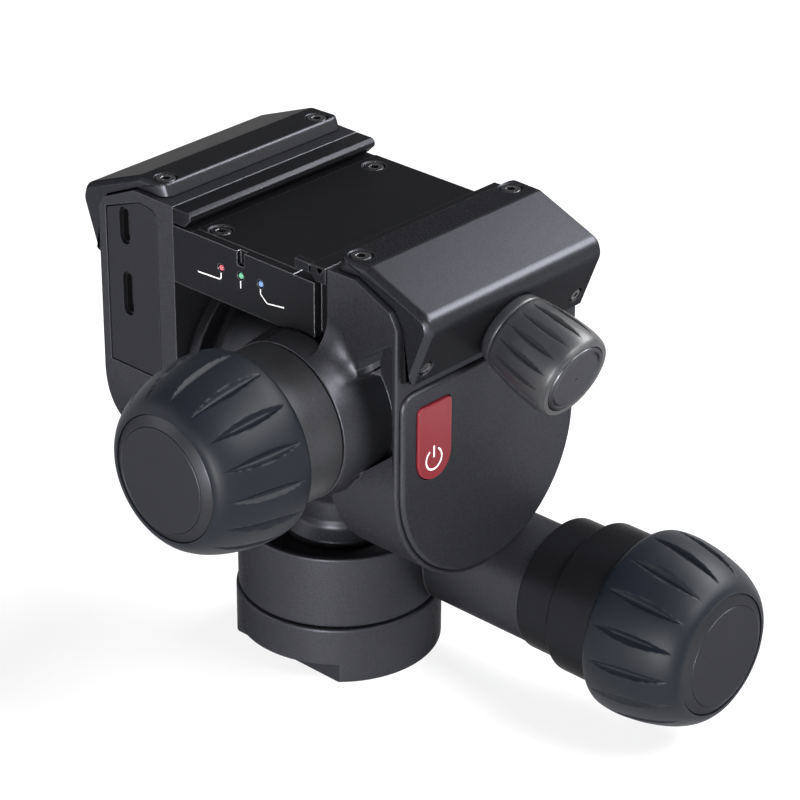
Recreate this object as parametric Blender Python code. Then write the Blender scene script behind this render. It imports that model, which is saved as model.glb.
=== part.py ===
"""Two-axis electric camera head: a turning base, tilting twin cases, and a quick-release clamp on top.

The origin is the centre of the base's underside, on the pan axis. +X runs across the clamp,
+Y along its channel and +Z up. The clamp's screw knob is on the +X side and the lamps face -Y.
"""
import math

import bmesh
import bpy
from mathutils import Matrix, Vector

for old in list(bpy.data.objects):
    bpy.data.objects.remove(old, do_unlink=True)

MM = 0.001
X_AXIS = Vector((1, 0, 0))
Y_AXIS = Vector((0, 1, 0))
Z_AXIS = Vector((0, 0, 1))

# General fits
GAP = 0.3 * MM
CHAMFER = 0.4 * MM
FINE_STEPS = 28
ROUND_STEPS = 18
SMALL_STEPS = 10

# Base: a round foot that screws onto a tripod
BASE_RADIUS = 24.5 * MM
BASE_HEIGHT = 14.4 * MM
BASE_FLOOR = 9.0 * MM
BASE_NOTCH_Y = -17.6 * MM
BASE_NOTCH_HEIGHT = 5.0 * MM
INSERT_RADIUS = 8.0 * MM
THREAD_RADIUS = 4.4 * MM

# Pan stage: housing, worm wheel and side arm
PAN_SEAM = BASE_HEIGHT + GAP
HOUSING_RADIUS = 24.0 * MM
HOUSING_TOP = 33.0 * MM
HOUSING_RIM = 1.5 * MM
RECESS_FLOOR = 29.2 * MM
HOUSING_CEILING = 1.2 * MM
HOUSING_WALL = 3.2 * MM
BEARING_RADIUS = 20.0 * MM
BEARING_BORE = 16.3 * MM
SPIGOT_WALL = 1.0 * MM
ARM_Y = 17.3 * MM
ARM_Z = 25.2 * MM
ARM_RADIUS = 14.0 * MM
ARM_END = 53.0 * MM
PAN_MOTOR_RADIUS = 11.0 * MM
PAN_MOTOR_START = 27.6 * MM
PAN_MOTOR_END = 52.2 * MM
WORM_RADIUS = 2.4 * MM
WORM_HALF = 6.0 * MM
WORM_SHAFT_RADIUS = 1.2 * MM
WHEEL_THICKNESS = 4.0 * MM

# Stepped collars between the arm and its knob
COLLAR_Y = 18.2 * MM
COLLAR_Z = 26.5 * MM
COLLAR_RADIUS = 16.1 * MM
COLLAR_END = 63.4 * MM
COLLAR_BORE = 4.9 * MM
LOCK_RADIUS = 18.2 * MM
LOCK_LENGTH = 12.7 * MM
PAN_KNOB_Y = 18.5 * MM
PAN_KNOB_Z = 26.8 * MM
PAN_KNOB_START = 76.4 * MM

# Neck and round head that the cases tilt on
TILT_Z = 66.0 * MM
NECK_RADIUS = 10.7 * MM
NECK_FOOT_RADIUS = 13.3 * MM
HUB_RADIUS = 24.5 * MM
HUB_LEFT = -18.6 * MM
HUB_RIGHT = 24.9 * MM
FLANGE_RADIUS = 29.0 * MM
FLANGE_WIDTH = 3.0 * MM
SHAFT_RADIUS = 6.0 * MM
TILT_BEARING_RADIUS = 10.0 * MM

# Twin cases
CASE_RADIUS = 29.8 * MM
CASE_TOP = 113.6 * MM
LEFT_INNER = -22.3 * MM
LEFT_OUTER = -47.2 * MM
RIGHT_INNER = HUB_RIGHT + 0.4 * MM
RIGHT_OUTER = 45.5 * MM
ROOF_SLOPE_RUN = 12.4 * MM
ROOF_SHOULDER_RUN = 2.2 * MM
ROOF_SHOULDER_DROP = 4.6 * MM
ROOF_EDGE_DROP = 8.1 * MM
CASE_WALL = 2.3 * MM
COVER_REBATE = 0.9 * MM
COVER_THICKNESS = 1.5 * MM
COVER_PROUD = 0.9 * MM
COVER_TOP = 89.3 * MM
COVER_EDGE = 0.9 * MM

# Tilt drive inside the right case, and the barrel in front of it
TILT_KNOB_X = 18.5 * MM
TILT_KNOB_Z = 77.2 * MM
BARREL_ROOT_RADIUS = 19.5 * MM
BARREL_SEAM = -37.0 * MM
BARREL_LENGTH = 12.0 * MM
TILT_WORM_X = 30.6 * MM
TILT_WORM_RADIUS = 3.0 * MM
TILT_WORM_END = 8.0 * MM
TILT_MOTOR_RADIUS = 11.0 * MM
TILT_MOTOR_REAR = -33.8 * MM
GEAR_FRONT = -33.2 * MM
GEAR_WIDTH = 2.6 * MM
PINION_RADIUS = 6.8 * MM
POCKET_BACK = -22.6 * MM
POCKET_OUTLINE = (
    (38.4 * MM, 70.7 * MM),
    (44.2 * MM, 75.3 * MM),
    (44.2 * MM, 102.1 * MM),
    (36.2 * MM, 96.5 * MM),
    (35.4 * MM, 95.3 * MM),
    (35.5 * MM, 93.1 * MM),
    (36.6 * MM, 90.4 * MM),
    (37.8 * MM, 87.4 * MM),
    (38.4 * MM, 83.0 * MM),
)

# Large rubber knobs
KNOB_LENGTH = 23.0 * MM
KNOB_BORE = 14.5 * MM
KNOB_RING_RADIUS = 14.2 * MM
KNOB_RING_WIDTH = 2.1 * MM
KNOB_FLUTES = 16
KNOB_FLUTE_DEPTH = 0.9 * MM
STEM_RADIUS = 4.0 * MM

# Clamp bed and dovetail jaws
BED_FLOOR = 109.4 * MM
BED_BOTTOM = 97.0 * MM
BED_LEFT = LEFT_INNER + GAP
BED_RIGHT = RIGHT_INNER - GAP
BED_HALF = 29.8 * MM
LIP_BOTTOM = 95.4 * MM
LIP_RIGHT = 21.7 * MM
LIP_FRONT = -30.1 * MM
LIP_BACK = -27.8 * MM
LAMP_X = (-6.8 * MM, -0.7 * MM, 5.4 * MM)
LAMP_Z = 103.6 * MM
LAMP_RADIUS = 0.7 * MM
JAW_SEAT_DROP = 0.2 * MM
CHANNEL_LEFT = -16.2 * MM
CHANNEL_RIGHT = 15.4 * MM
LUG_EDGE = 15.8 * MM
LUG_DEPTH = 1.6 * MM
REAR_LUG_START = 23.9 * MM
JAW_TOP = 113.5 * MM
JAW_LIP = 1.8 * MM
FIXED_JAW_EDGE = -16.3 * MM
MOVING_JAW_EDGE = 19.9 * MM
JAW_TRAVEL = 4.5 * MM
TAIL_HALF = 7.0 * MM
TAIL_LEFT = 24.5 * MM
TAIL_RIGHT = 34.0 * MM
TAIL_LOW = 101.5 * MM
TAIL_HIGH = 112.5 * MM
NUT_LEFT = 27.3 * MM
NUT_WIDTH = 4.6 * MM
NUT_HALF = 4.5 * MM
NUT_HALF_HEIGHT = 4.1 * MM

# Clamp knob on its tilted screw
CLAMP_TILT = math.radians(18.0)
CLAMP_END = Vector((69.8, 0.0, 91.9)) * MM
CLAMP_AXIS = Vector((math.cos(CLAMP_TILT), 0.0, -math.sin(CLAMP_TILT)))
CLAMP_KNOB_LENGTH = 20.2 * MM
CLAMP_BORE = 6.9 * MM
CLAMP_FLUTES = 12
CLAMP_FLUTE_DEPTH = 1.1 * MM
CLAMP_DISC_RADIUS = 8.4 * MM
CLAMP_SCREW_RADIUS = 2.9 * MM
CLAMP_SCREW_TIP_X = 24.6 * MM
CLAMP_BOSS_RADIUS = 4.2 * MM

# Hoods over the cases: the outer run of each one's section in (x, z), from the inner top to the foot
HOOD_FRONT = -28.3 * MM
HOOD_REAR = 29.3 * MM
HOOD_EDGE = 1.2 * MM
HOOD_INNER = 25.8 * MM
RIGHT_HOOD_SECTION = (
    (26.9 * MM, 116.7 * MM),
    (35.2 * MM, 116.5 * MM),
    (50.0 * MM, 110.7 * MM),
    (52.0 * MM, 109.1 * MM),
    (53.0 * MM, 106.8 * MM),
    (52.6 * MM, 104.7 * MM),
    (48.0 * MM, 92.7 * MM),
)
LEFT_HOOD_SECTION = (
    (-26.9 * MM, 116.7 * MM),
    (-35.2 * MM, 116.5 * MM),
    (-51.5 * MM, 110.2 * MM),
    (-53.3 * MM, 108.3 * MM),
    (-54.2 * MM, 106.0 * MM),
    (-54.0 * MM, 104.0 * MM),
    (-49.9 * MM, 93.3 * MM),
)
HOOD_SCREW_Y = 24.3 * MM
HOOD_SCREW_X = 30.0 * MM
SCREW_RADIUS = 2.3 * MM
SCREW_DEPTH = 1.8 * MM
SIDE_SCREW_RADIUS = 1.5 * MM
SIDE_SCREW_DEPTH = 1.1 * MM
SIDE_SCREW_Z = 96.3 * MM
SIDE_SCREW_Y = 24.7 * MM
BED_SCREW_X = -12.0 * MM
BED_SCREW_Y = 24.8 * MM

# Port panel, sockets and power button
RIGHT_CAVITY_FRONT = -20.4 * MM
RIGHT_CAVITY_TOP = 95.5 * MM
PORT_BOARD_FRONT = -22.0 * MM
SWITCH_FACE = 42.6 * MM
PANEL_RIGHT = -27.7 * MM
PANEL_LEFT = -44.2 * MM
PANEL_LOW = 68.5 * MM
PANEL_HIGH = 111.0 * MM
PANEL_THICKNESS = 1.2 * MM
USB_X = -38.3 * MM
USB_Z = 103.9 * MM
USB_LENGTH = 9.2 * MM
HDMI_X = -37.9 * MM
HDMI_Z = 87.0 * MM
HDMI_LENGTH = 11.0 * MM
SLOT_WIDTH = 3.4 * MM
BUTTON_Y = -18.8 * MM
BUTTON_Z = 72.0 * MM
BUTTON_RADIUS = 5.35 * MM
BUTTON_TOP = 85.1 * MM
BUTTON_PROUD = 0.5 * MM
BUTTON_TRAVEL = 0.5 * MM
BUTTON_SKIN = 0.5 * MM


def material(name, colour, roughness, metallic):
    made = bpy.data.materials.new(name)
    made.use_nodes = True
    shader = made.node_tree.nodes["Principled BSDF"]
    shader.inputs["Base Color"].default_value = (*colour, 1.0)
    shader.inputs["Roughness"].default_value = roughness
    shader.inputs["Metallic"].default_value = metallic
    return made


CASTING = material("charcoal_casting", (0.030, 0.031, 0.034), 0.42, 0.35)
TURNED = material("black_turned_metal", (0.035, 0.036, 0.040), 0.32, 0.60)
RUBBER = material("navy_rubber", (0.022, 0.027, 0.038), 0.55, 0.0)
SATIN = material("satin_end_metal", (0.10, 0.10, 0.11), 0.35, 0.6)
PLASTIC = material("black_plastic", (0.012, 0.012, 0.013), 0.45, 0.0)
RED = material("red_button", (0.55, 0.012, 0.020), 0.35, 0.0)
STEEL = material("steel", (0.55, 0.55, 0.56), 0.30, 1.0)
BRASS = material("brass", (0.70, 0.50, 0.22), 0.30, 1.0)
BOARD = material("circuit_board", (0.01, 0.10, 0.04), 0.50, 0.0)
LAMP_RED = material("lamp_red", (0.80, 0.03, 0.03), 0.30, 0.0)
LAMP_GREEN = material("lamp_green", (0.03, 0.70, 0.25), 0.30, 0.0)
LAMP_BLUE = material("lamp_blue", (0.05, 0.20, 0.80), 0.30, 0.0)


def finish(name, mesh_data, place, surface):
    """Close a bmesh into a smooth-shaded object standing at place, with its faces outward."""
    bmesh.ops.recalc_face_normals(mesh_data, faces=mesh_data.faces)
    mesh = bpy.data.meshes.new(name)
    mesh_data.to_mesh(mesh)
    mesh_data.free()
    mesh.shade_smooth()
    mesh.set_sharp_from_angle(angle=math.radians(32))
    made = bpy.data.objects.new(name, mesh)
    made.data.materials.append(surface)
    made.matrix_world = place
    bpy.context.collection.objects.link(made)
    return made


def facing(direction, origin):
    """The placement whose local +Z points along direction."""
    turn = Z_AXIS.rotation_difference(direction).to_matrix().to_4x4()
    return Matrix.Translation(Vector(origin)) @ turn


def turned(name, profile, direction, origin, surface, steps=FINE_STEPS):
    """Revolve a closed (radius, height) outline; radii of 0 become flat ends on the axis."""
    made = bmesh.new()
    rings = []
    for radius, height in profile:
        if radius == 0:
            continue
        ring = []
        for step in range(steps):
            angle = 2 * math.pi * step / steps
            ring.append(made.verts.new((radius * math.cos(angle), radius * math.sin(angle), height)))
        rings.append(ring)
    solid = any(radius == 0 for radius, height in profile)
    pairs = list(zip(rings, rings[1:]))
    if not solid:
        pairs.append((rings[-1], rings[0]))
    for low, high in pairs:
        for step in range(steps):
            after = (step + 1) % steps
            made.faces.new((low[step], low[after], high[after], high[step]))
    if solid:
        made.faces.new(rings[0])
        made.faces.new(rings[-1])
    return finish(name, made, facing(direction, origin), surface)


def rod(name, radius, start, length, direction, surface, steps=ROUND_STEPS):
    """A plain round bar from start, running along direction."""
    outline = ((0, 0), (radius, 0), (radius, length), (0, length))
    return turned(name, outline, direction, start, surface, steps)


def extruded(name, outline, plane, start, end, surface, origin=(0, 0, 0), edge=0.0, edge_ends=()):
    """Extrude a flat outline, in plane YZ, XZ or XY, from start to end across it."""
    across = {"YZ": 0, "XZ": 1, "XY": 2}[plane]
    flat = [axis for axis in range(3) if axis != across]
    made = bmesh.new()
    caps = {}
    for end_name, level in (("start", start), ("end", end)):
        ring = []
        for first, second in outline:
            spot = [0.0, 0.0, 0.0]
            spot[across] = level
            spot[flat[0]] = first
            spot[flat[1]] = second
            ring.append(made.verts.new(Vector(spot) - Vector(origin)))
        caps[end_name] = ring
    count = len(outline)
    for index in range(count):
        after = (index + 1) % count
        made.faces.new((caps["start"][index], caps["start"][after], caps["end"][after], caps["end"][index]))
    cap_faces = {end_name: made.faces.new(ring) for end_name, ring in caps.items()}
    bmesh.ops.recalc_face_normals(made, faces=made.faces)
    if edge:
        rim = []
        for end_name in edge_ends:
            rim.extend(cap_faces[end_name].edges)
        bmesh.ops.bevel(made, geom=rim, offset=edge, segments=2, profile=0.5, affect="EDGES")
    return finish(name, made, Matrix.Translation(Vector(origin)), surface)


def block(name, low, high, surface, edge=0.0, origin=(0, 0, 0)):
    """A box between two corners, with its edges bevelled where edge is given."""
    made = bmesh.new()
    bmesh.ops.create_cube(made, size=1.0)
    low = Vector(low)
    high = Vector(high)
    for vertex in made.verts:
        vertex.co = (low + high) / 2 + Vector(a * b for a, b in zip(vertex.co, high - low)) - Vector(origin)
    if edge:
        bmesh.ops.bevel(made, geom=made.edges[:], offset=edge, segments=1, affect="EDGES")
    return finish(name, made, Matrix.Translation(Vector(origin)), surface)


def guide(tool):
    tool.hide_render = True
    tool.display_type = "WIRE"
    return tool


def combine(target, tool, operation):
    step = target.modifiers.new(tool.name, "BOOLEAN")
    step.object = guide(tool)
    step.operation = operation
    step.solver = "EXACT"


def cut(target, tool):
    combine(target, tool, "DIFFERENCE")


def fuse(target, tool):
    combine(target, tool, "UNION")


def bar_profile(radius, length, edge=CHAMFER):
    """A round bar's outline with both rims chamfered."""
    return ((0, 0), (radius - edge, 0), (radius, edge), (radius, length - edge), (radius - edge, length),
            (0, length))


def plain_tube(radius, bore, length):
    """A tube's outline with square rims, for what sits out of sight."""
    return ((bore, 0), (radius, 0), (radius, length), (bore, length))


def tube_profile(radius, bore, length, edge=CHAMFER):
    """A tube's outline with its outer rims chamfered."""
    return ((bore, 0), (radius - edge, 0), (radius, edge), (radius, length - edge), (radius - edge, length),
            (bore, length))


def fluted_grip(name, body, flute_start, flute_end, flutes, depth, hollow, direction, origin):
    """A barrel-shaped grip with lens-shaped scoops; body and hollow are (radius, height) outlines."""
    rows = 3
    heights = [height for radius, height in body if height < flute_start]
    heights += [flute_start + (flute_end - flute_start) * row / rows for row in range(rows + 1)]
    heights += [height for radius, height in body if height > flute_end]
    pitch = 2 * math.pi / flutes
    places = (-1.0, -0.4, 0.4, 1.0)
    made = bmesh.new()
    rings = []
    for height in heights:
        part = min(max((height - flute_start) / (flute_end - flute_start), 0.0), 1.0)
        swell = math.sin(math.pi * part)
        half = pitch * (0.10 + 0.30 * swell)
        radius = outline_radius(body, height)
        ring = []
        for flute in range(flutes):
            for place in places:
                scoop = depth * swell * (1 - place * place)
                angle = flute * pitch + place * half
                reach = radius - scoop
                ring.append(made.verts.new((reach * math.cos(angle), reach * math.sin(angle), height)))
        rings.append(ring)
    for bore, height in hollow:
        ring = []
        for flute in range(flutes):
            for place in places:
                angle = flute * pitch + place * pitch * 0.4
                ring.append(made.verts.new((bore * math.cos(angle), bore * math.sin(angle), height)))
        rings.append(ring)
    count = flutes * len(places)
    for low, high in zip(rings, rings[1:] + rings[:1]):
        for step in range(count):
            after = (step + 1) % count
            made.faces.new((low[step], low[after], high[after], high[step]))
    return finish(name, made, facing(direction, origin), RUBBER)


def outline_radius(body, height):
    """The radius of a (radius, height) outline at a height, read along its straight runs."""
    for (radius, start), (radius_after, end) in zip(body, body[1:]):
        if start <= height <= end:
            return radius + (radius_after - radius) * (height - start) / (end - start)
    return body[-1][0]


def bowl_outline(radius, front, rear, top, steps=20):
    """A case's side outline in (y, z): a bowl about the tilt axis with straight walls above it."""
    first = math.asin(max(front / radius, -1.0))
    last = math.asin(min(rear / radius, 1.0))
    points = []
    for step in range(steps + 1):
        angle = first + (last - first) * step / steps
        points.append((radius * math.sin(angle), TILT_Z - radius * math.cos(angle)))
    return points + [(rear, top), (front, top)]


def roof_line(inner, outer):
    """A case's roof in (x, z), from its inner edge to its outer one."""
    side = 1 if outer > inner else -1
    return [
        (inner, CASE_TOP - 0.2 * MM),
        (outer - side * ROOF_SLOPE_RUN, CASE_TOP),
        (outer - side * ROOF_SHOULDER_RUN, CASE_TOP - ROOF_SHOULDER_DROP),
        (outer, CASE_TOP - ROOF_EDGE_DROP),
    ]


def slot_outline(x, z, width, length, steps=6):
    """An upright slot with round ends, in (x, z)."""
    points = []
    for centre, turn in ((z + (length - width) / 2, 0.0), (z - (length - width) / 2, math.pi)):
        for step in range(steps + 1):
            angle = turn + math.pi * step / steps
            points.append((x + width / 2 * math.cos(angle), centre + width / 2 * math.sin(angle)))
    return points


def clamp_point(back):
    """A point on the clamp screw's axis, back from the knob's end face."""
    return CLAMP_END - CLAMP_AXIS * back


def clamp_point_at(x):
    """The point on the clamp screw's axis with this x."""
    return CLAMP_END + CLAMP_AXIS * ((x - CLAMP_END.x) / CLAMP_AXIS.x)


def build_base():
    """The foot, its thread insert, spindle and the worm wheel that stays still."""
    foot = turned("base_ring", (
        (INSERT_RADIUS + GAP, 0),
        (BASE_RADIUS - CHAMFER, 0),
        (BASE_RADIUS, CHAMFER),
        (BASE_RADIUS, BASE_HEIGHT - CHAMFER),
        (BASE_RADIUS - CHAMFER, BASE_HEIGHT),
        (BEARING_RADIUS + GAP, BASE_HEIGHT),
        (BEARING_RADIUS + GAP, BASE_FLOOR),
        (INSERT_RADIUS + GAP, BASE_FLOOR),
    ), Z_AXIS, (0, 0, 0), TURNED)
    reach = BASE_RADIUS + 5 * MM
    cut(foot, block("base_notch", (-reach, -reach, -MM), (reach, BASE_NOTCH_Y, BASE_NOTCH_HEIGHT), TURNED))
    turned("thread_insert", (
        (THREAD_RADIUS + 0.5 * MM, 0),
        (INSERT_RADIUS, 0),
        (INSERT_RADIUS, BASE_FLOOR - GAP),
        (THREAD_RADIUS, BASE_FLOOR - GAP),
        (THREAD_RADIUS, 0.5 * MM),
    ), Z_AXIS, (0, 0, 0), STEEL, ROUND_STEPS)
    bearing_low = BASE_FLOOR + GAP
    bearing_high = BASE_HEIGHT - GAP
    turned("pan_bearing", (
        (BEARING_BORE, bearing_low),
        (BEARING_RADIUS, bearing_low),
        (BEARING_RADIUS, bearing_high),
        (BEARING_BORE, bearing_high),
    ), Z_AXIS, (0, 0, 0), STEEL, ROUND_STEPS)
    wheel_low = ARM_Z - WHEEL_THICKNESS / 2
    wheel_high = ARM_Z + WHEEL_THICKNESS / 2
    spindle_radius = 5.0 * MM
    turned("pan_spindle", (
        (0, BASE_FLOOR + GAP),
        (INSERT_RADIUS + 3.0 * MM, BASE_FLOOR + GAP),
        (INSERT_RADIUS + 3.0 * MM, BASE_FLOOR + 2.0 * MM),
        (spindle_radius + 2.0 * MM, BASE_FLOOR + 2.0 * MM),
        (spindle_radius + 2.0 * MM, wheel_low - GAP),
        (spindle_radius, wheel_low - GAP),
        (spindle_radius, wheel_high),
        (0, wheel_high),
    ), Z_AXIS, (0, 0, 0), STEEL, ROUND_STEPS)
    wheel_radius = ARM_Y - WORM_RADIUS - GAP
    turned("pan_worm_wheel", plain_tube(wheel_radius, spindle_radius + GAP, WHEEL_THICKNESS),
           Z_AXIS, (0, 0, wheel_low), BRASS, ROUND_STEPS)


def build_pan_stage():
    """The round housing with its side arm, its drive and the stepped collars at the arm's end."""
    spigot = BEARING_BORE - GAP
    housing = turned("pan_housing", (
        (0, BASE_FLOOR + 0.6 * MM),
        (spigot, BASE_FLOOR + 0.6 * MM),
        (spigot, PAN_SEAM),
        (HOUSING_RADIUS - CHAMFER, PAN_SEAM),
        (HOUSING_RADIUS, PAN_SEAM + CHAMFER),
        (HOUSING_RADIUS, HOUSING_TOP - CHAMFER),
        (HOUSING_RADIUS - CHAMFER, HOUSING_TOP),
        (HOUSING_RADIUS - HOUSING_RIM, HOUSING_TOP),
        (HOUSING_RADIUS - HOUSING_RIM, RECESS_FLOOR),
        (0, RECESS_FLOOR),
    ), Z_AXIS, (0, 0, 0), CASTING)
    arm_start = 12.0 * MM
    arm = turned("arm_tube", bar_profile(ARM_RADIUS, ARM_END - arm_start), X_AXIS,
                 (arm_start, ARM_Y, ARM_Z), CASTING)
    # The arm hangs lower than the seam, so its underside sweeps up to clear the round base.
    far = ARM_END + ARM_Y
    cut(arm, turned("arm_underside", (
        (0, -MM),
        (far, -MM),
        (far, ARM_Z - ARM_RADIUS - 2 * MM),
        (38.0 * MM, ARM_Z - ARM_RADIUS - 0.2 * MM),
        (34.5 * MM, PAN_SEAM - 3.1 * MM),
        (31.0 * MM, PAN_SEAM - 1.9 * MM),
        (28.0 * MM, PAN_SEAM - 0.7 * MM),
        (BASE_RADIUS + GAP, PAN_SEAM),
        (0, PAN_SEAM),
    ), Z_AXIS, (0, 0, 0), CASTING))
    # Its upper side sweeps down into the housing's rim.
    cut(arm, turned("arm_upper_sweep", (
        (0, RECESS_FLOOR),
        (HOUSING_RADIUS - HOUSING_RIM, RECESS_FLOOR),
        (HOUSING_RADIUS - HOUSING_RIM, HOUSING_TOP),
        (24.5 * MM, HOUSING_TOP + 1.0 * MM),
        (27.0 * MM, HOUSING_TOP + 3.3 * MM),
        (29.5 * MM, HOUSING_TOP + 5.2 * MM),
        (32.0 * MM, ARM_Z + ARM_RADIUS + 0.4 * MM),
        (32.0 * MM, TILT_Z),
        (0, TILT_Z),
    ), Z_AXIS, (0, 0, 0), CASTING))
    fuse(housing, arm)
    mouth = spigot - SPIGOT_WALL
    cut(housing, turned("housing_cavity", (
        (0, BASE_FLOOR - MM),
        (mouth, BASE_FLOOR - MM),
        (mouth, PAN_SEAM + 2.8 * MM),
        (HOUSING_RADIUS - HOUSING_WALL, PAN_SEAM + 2.8 * MM),
        (HOUSING_RADIUS - HOUSING_WALL, RECESS_FLOOR - HOUSING_CEILING),
        (0, RECESS_FLOOR - HOUSING_CEILING),
    ), Z_AXIS, (0, 0, 0), CASTING))
    motor_bore_start = PAN_MOTOR_START - GAP
    cut(housing, rod("motor_bore", PAN_MOTOR_RADIUS + GAP, (motor_bore_start, ARM_Y, ARM_Z),
                     ARM_END - motor_bore_start + MM, X_AXIS, CASTING))
    cut(housing, rod("worm_shaft_bore", WORM_RADIUS + GAP, (WORM_HALF, ARM_Y, ARM_Z),
                     motor_bore_start - WORM_HALF + MM, X_AXIS, CASTING, SMALL_STEPS))

    rod("pan_motor", PAN_MOTOR_RADIUS, (PAN_MOTOR_START, ARM_Y, ARM_Z), PAN_MOTOR_END - PAN_MOTOR_START,
        X_AXIS, STEEL)
    worm_start = -WORM_HALF
    turned("pan_worm", (
        (0, 0),
        (WORM_RADIUS, 0),
        (WORM_RADIUS, 2 * WORM_HALF),
        (WORM_SHAFT_RADIUS, 2 * WORM_HALF),
        (WORM_SHAFT_RADIUS, PAN_MOTOR_START - GAP - worm_start),
        (0, PAN_MOTOR_START - GAP - worm_start),
    ), X_AXIS, (worm_start, ARM_Y, ARM_Z), STEEL, SMALL_STEPS)

    collar_start = ARM_END + GAP
    stem_bore = STEM_RADIUS + GAP
    turned("arm_collar", tube_profile(COLLAR_RADIUS, COLLAR_BORE, COLLAR_END - GAP - collar_start),
           X_AXIS, (collar_start, COLLAR_Y, COLLAR_Z), TURNED)
    turned("pan_lock_barrel", tube_profile(LOCK_RADIUS, stem_bore, LOCK_LENGTH), X_AXIS,
           (COLLAR_END, PAN_KNOB_Y, PAN_KNOB_Z), TURNED)


def build_knob(prefix, direction, origin, stem_length):
    """A big rubber knob whose rear face starts at origin: grip, core with stem, end ring and disc."""
    body = (
        (20.6 * MM, 0),
        (21.4 * MM, 0.8 * MM),
        (21.8 * MM, 4.5 * MM),
        (21.5 * MM, 8.5 * MM),
        (20.7 * MM, 13.0 * MM),
        (19.3 * MM, 17.5 * MM),
        (17.6 * MM, 20.8 * MM),
        (16.2 * MM, 22.4 * MM),
        (15.2 * MM, KNOB_LENGTH),
    )
    hollow = ((KNOB_BORE, KNOB_LENGTH), (KNOB_BORE, 0))
    fluted_grip(prefix + "_grip", body, 3.0 * MM, 20.8 * MM, KNOB_FLUTES, KNOB_FLUTE_DEPTH, hollow,
                direction, origin)
    core_front = KNOB_LENGTH - 1.6 * MM
    turned(prefix + "_core", (
        (0, -stem_length),
        (STEM_RADIUS, -stem_length),
        (STEM_RADIUS, 0.2 * MM),
        (KNOB_BORE - GAP, 0.2 * MM),
        (KNOB_BORE - GAP, core_front),
        (0, core_front),
    ), direction, origin, PLASTIC, ROUND_STEPS)
    ring_inner = KNOB_RING_RADIUS - KNOB_RING_WIDTH
    ring_front = KNOB_LENGTH + 0.6 * MM
    turned(prefix + "_ring", (
        (ring_inner, core_front + GAP),
        (KNOB_RING_RADIUS, core_front + GAP),
        (KNOB_RING_RADIUS, ring_front - 0.5 * MM),
        (KNOB_RING_RADIUS - 0.5 * MM, ring_front),
        (ring_inner + 0.5 * MM, ring_front),
        (ring_inner, ring_front - 0.5 * MM),
    ), direction, origin, SATIN, ROUND_STEPS)
    disc_start = core_front + GAP
    turned(prefix + "_disc", bar_profile(ring_inner - GAP, KNOB_LENGTH + 0.1 * MM - disc_start, 0.3 * MM),
           direction, Vector(origin) + direction * disc_start, SATIN, ROUND_STEPS)


def build_head():
    """The neck that stands on the housing and the round head between the cases."""
    foot_low = RECESS_FLOOR + GAP
    head = turned("neck_head", (
        (0, foot_low),
        (NECK_FOOT_RADIUS, foot_low),
        (NECK_FOOT_RADIUS, foot_low + 1.2 * MM),
        (NECK_FOOT_RADIUS - 1.4 * MM, foot_low + 2.4 * MM),
        (NECK_RADIUS + 0.3 * MM, foot_low + 4.2 * MM),
        (NECK_RADIUS, foot_low + 6.0 * MM),
        (NECK_RADIUS, TILT_Z - HUB_RADIUS - 1.0 * MM),
        (NECK_RADIUS + 1.2 * MM, TILT_Z - HUB_RADIUS + 2.0 * MM),
        (NECK_RADIUS + 4.5 * MM, TILT_Z - HUB_RADIUS + 5.0 * MM),
        (NECK_RADIUS + 4.5 * MM, TILT_Z),
        (0, TILT_Z),
    ), Z_AXIS, (0, 0, 0), CASTING, ROUND_STEPS)
    hub_left = HUB_LEFT - FLANGE_WIDTH
    hub = turned("head_hub", (
        (0, 0),
        (FLANGE_RADIUS - CHAMFER, 0),
        (FLANGE_RADIUS, CHAMFER),
        (FLANGE_RADIUS, FLANGE_WIDTH),
        (HUB_RADIUS + 1.6 * MM, FLANGE_WIDTH + 0.3 * MM),
        (HUB_RADIUS + 0.4 * MM, FLANGE_WIDTH + 1.2 * MM),
        (HUB_RADIUS, FLANGE_WIDTH + 3.0 * MM),
        (HUB_RADIUS, HUB_RIGHT - hub_left - CHAMFER),
        (HUB_RADIUS - CHAMFER, HUB_RIGHT - hub_left),
        (0, HUB_RIGHT - hub_left),
    ), X_AXIS, (hub_left, 0, TILT_Z), CASTING)
    fuse(head, hub)
    cut(head, rod("head_bore", SHAFT_RADIUS + GAP, (hub_left - MM, 0, TILT_Z),
                  HUB_RIGHT - hub_left + 2 * MM, X_AXIS, CASTING))

    shaft_left = LEFT_INNER - 3.4 * MM
    shaft_right = TILT_WORM_X + 5.0 * MM
    rod("tilt_shaft", SHAFT_RADIUS, (shaft_left, 0, TILT_Z), shaft_right - shaft_left, X_AXIS, STEEL)
    wheel_radius = TILT_KNOB_Z - TILT_Z - TILT_WORM_RADIUS - GAP
    turned("tilt_worm_wheel", plain_tube(wheel_radius, SHAFT_RADIUS + GAP, WHEEL_THICKNESS), X_AXIS,
           (TILT_WORM_X - WHEEL_THICKNESS / 2, 0, TILT_Z), BRASS, ROUND_STEPS)
    bearing = plain_tube(TILT_BEARING_RADIUS, SHAFT_RADIUS + GAP, CASE_WALL)
    turned("tilt_bearing_left", bearing, X_AXIS, (LEFT_INNER - CASE_WALL, 0, TILT_Z), STEEL, ROUND_STEPS)
    turned("tilt_bearing_right", bearing, X_AXIS, (RIGHT_INNER, 0, TILT_Z), STEEL, ROUND_STEPS)


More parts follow.
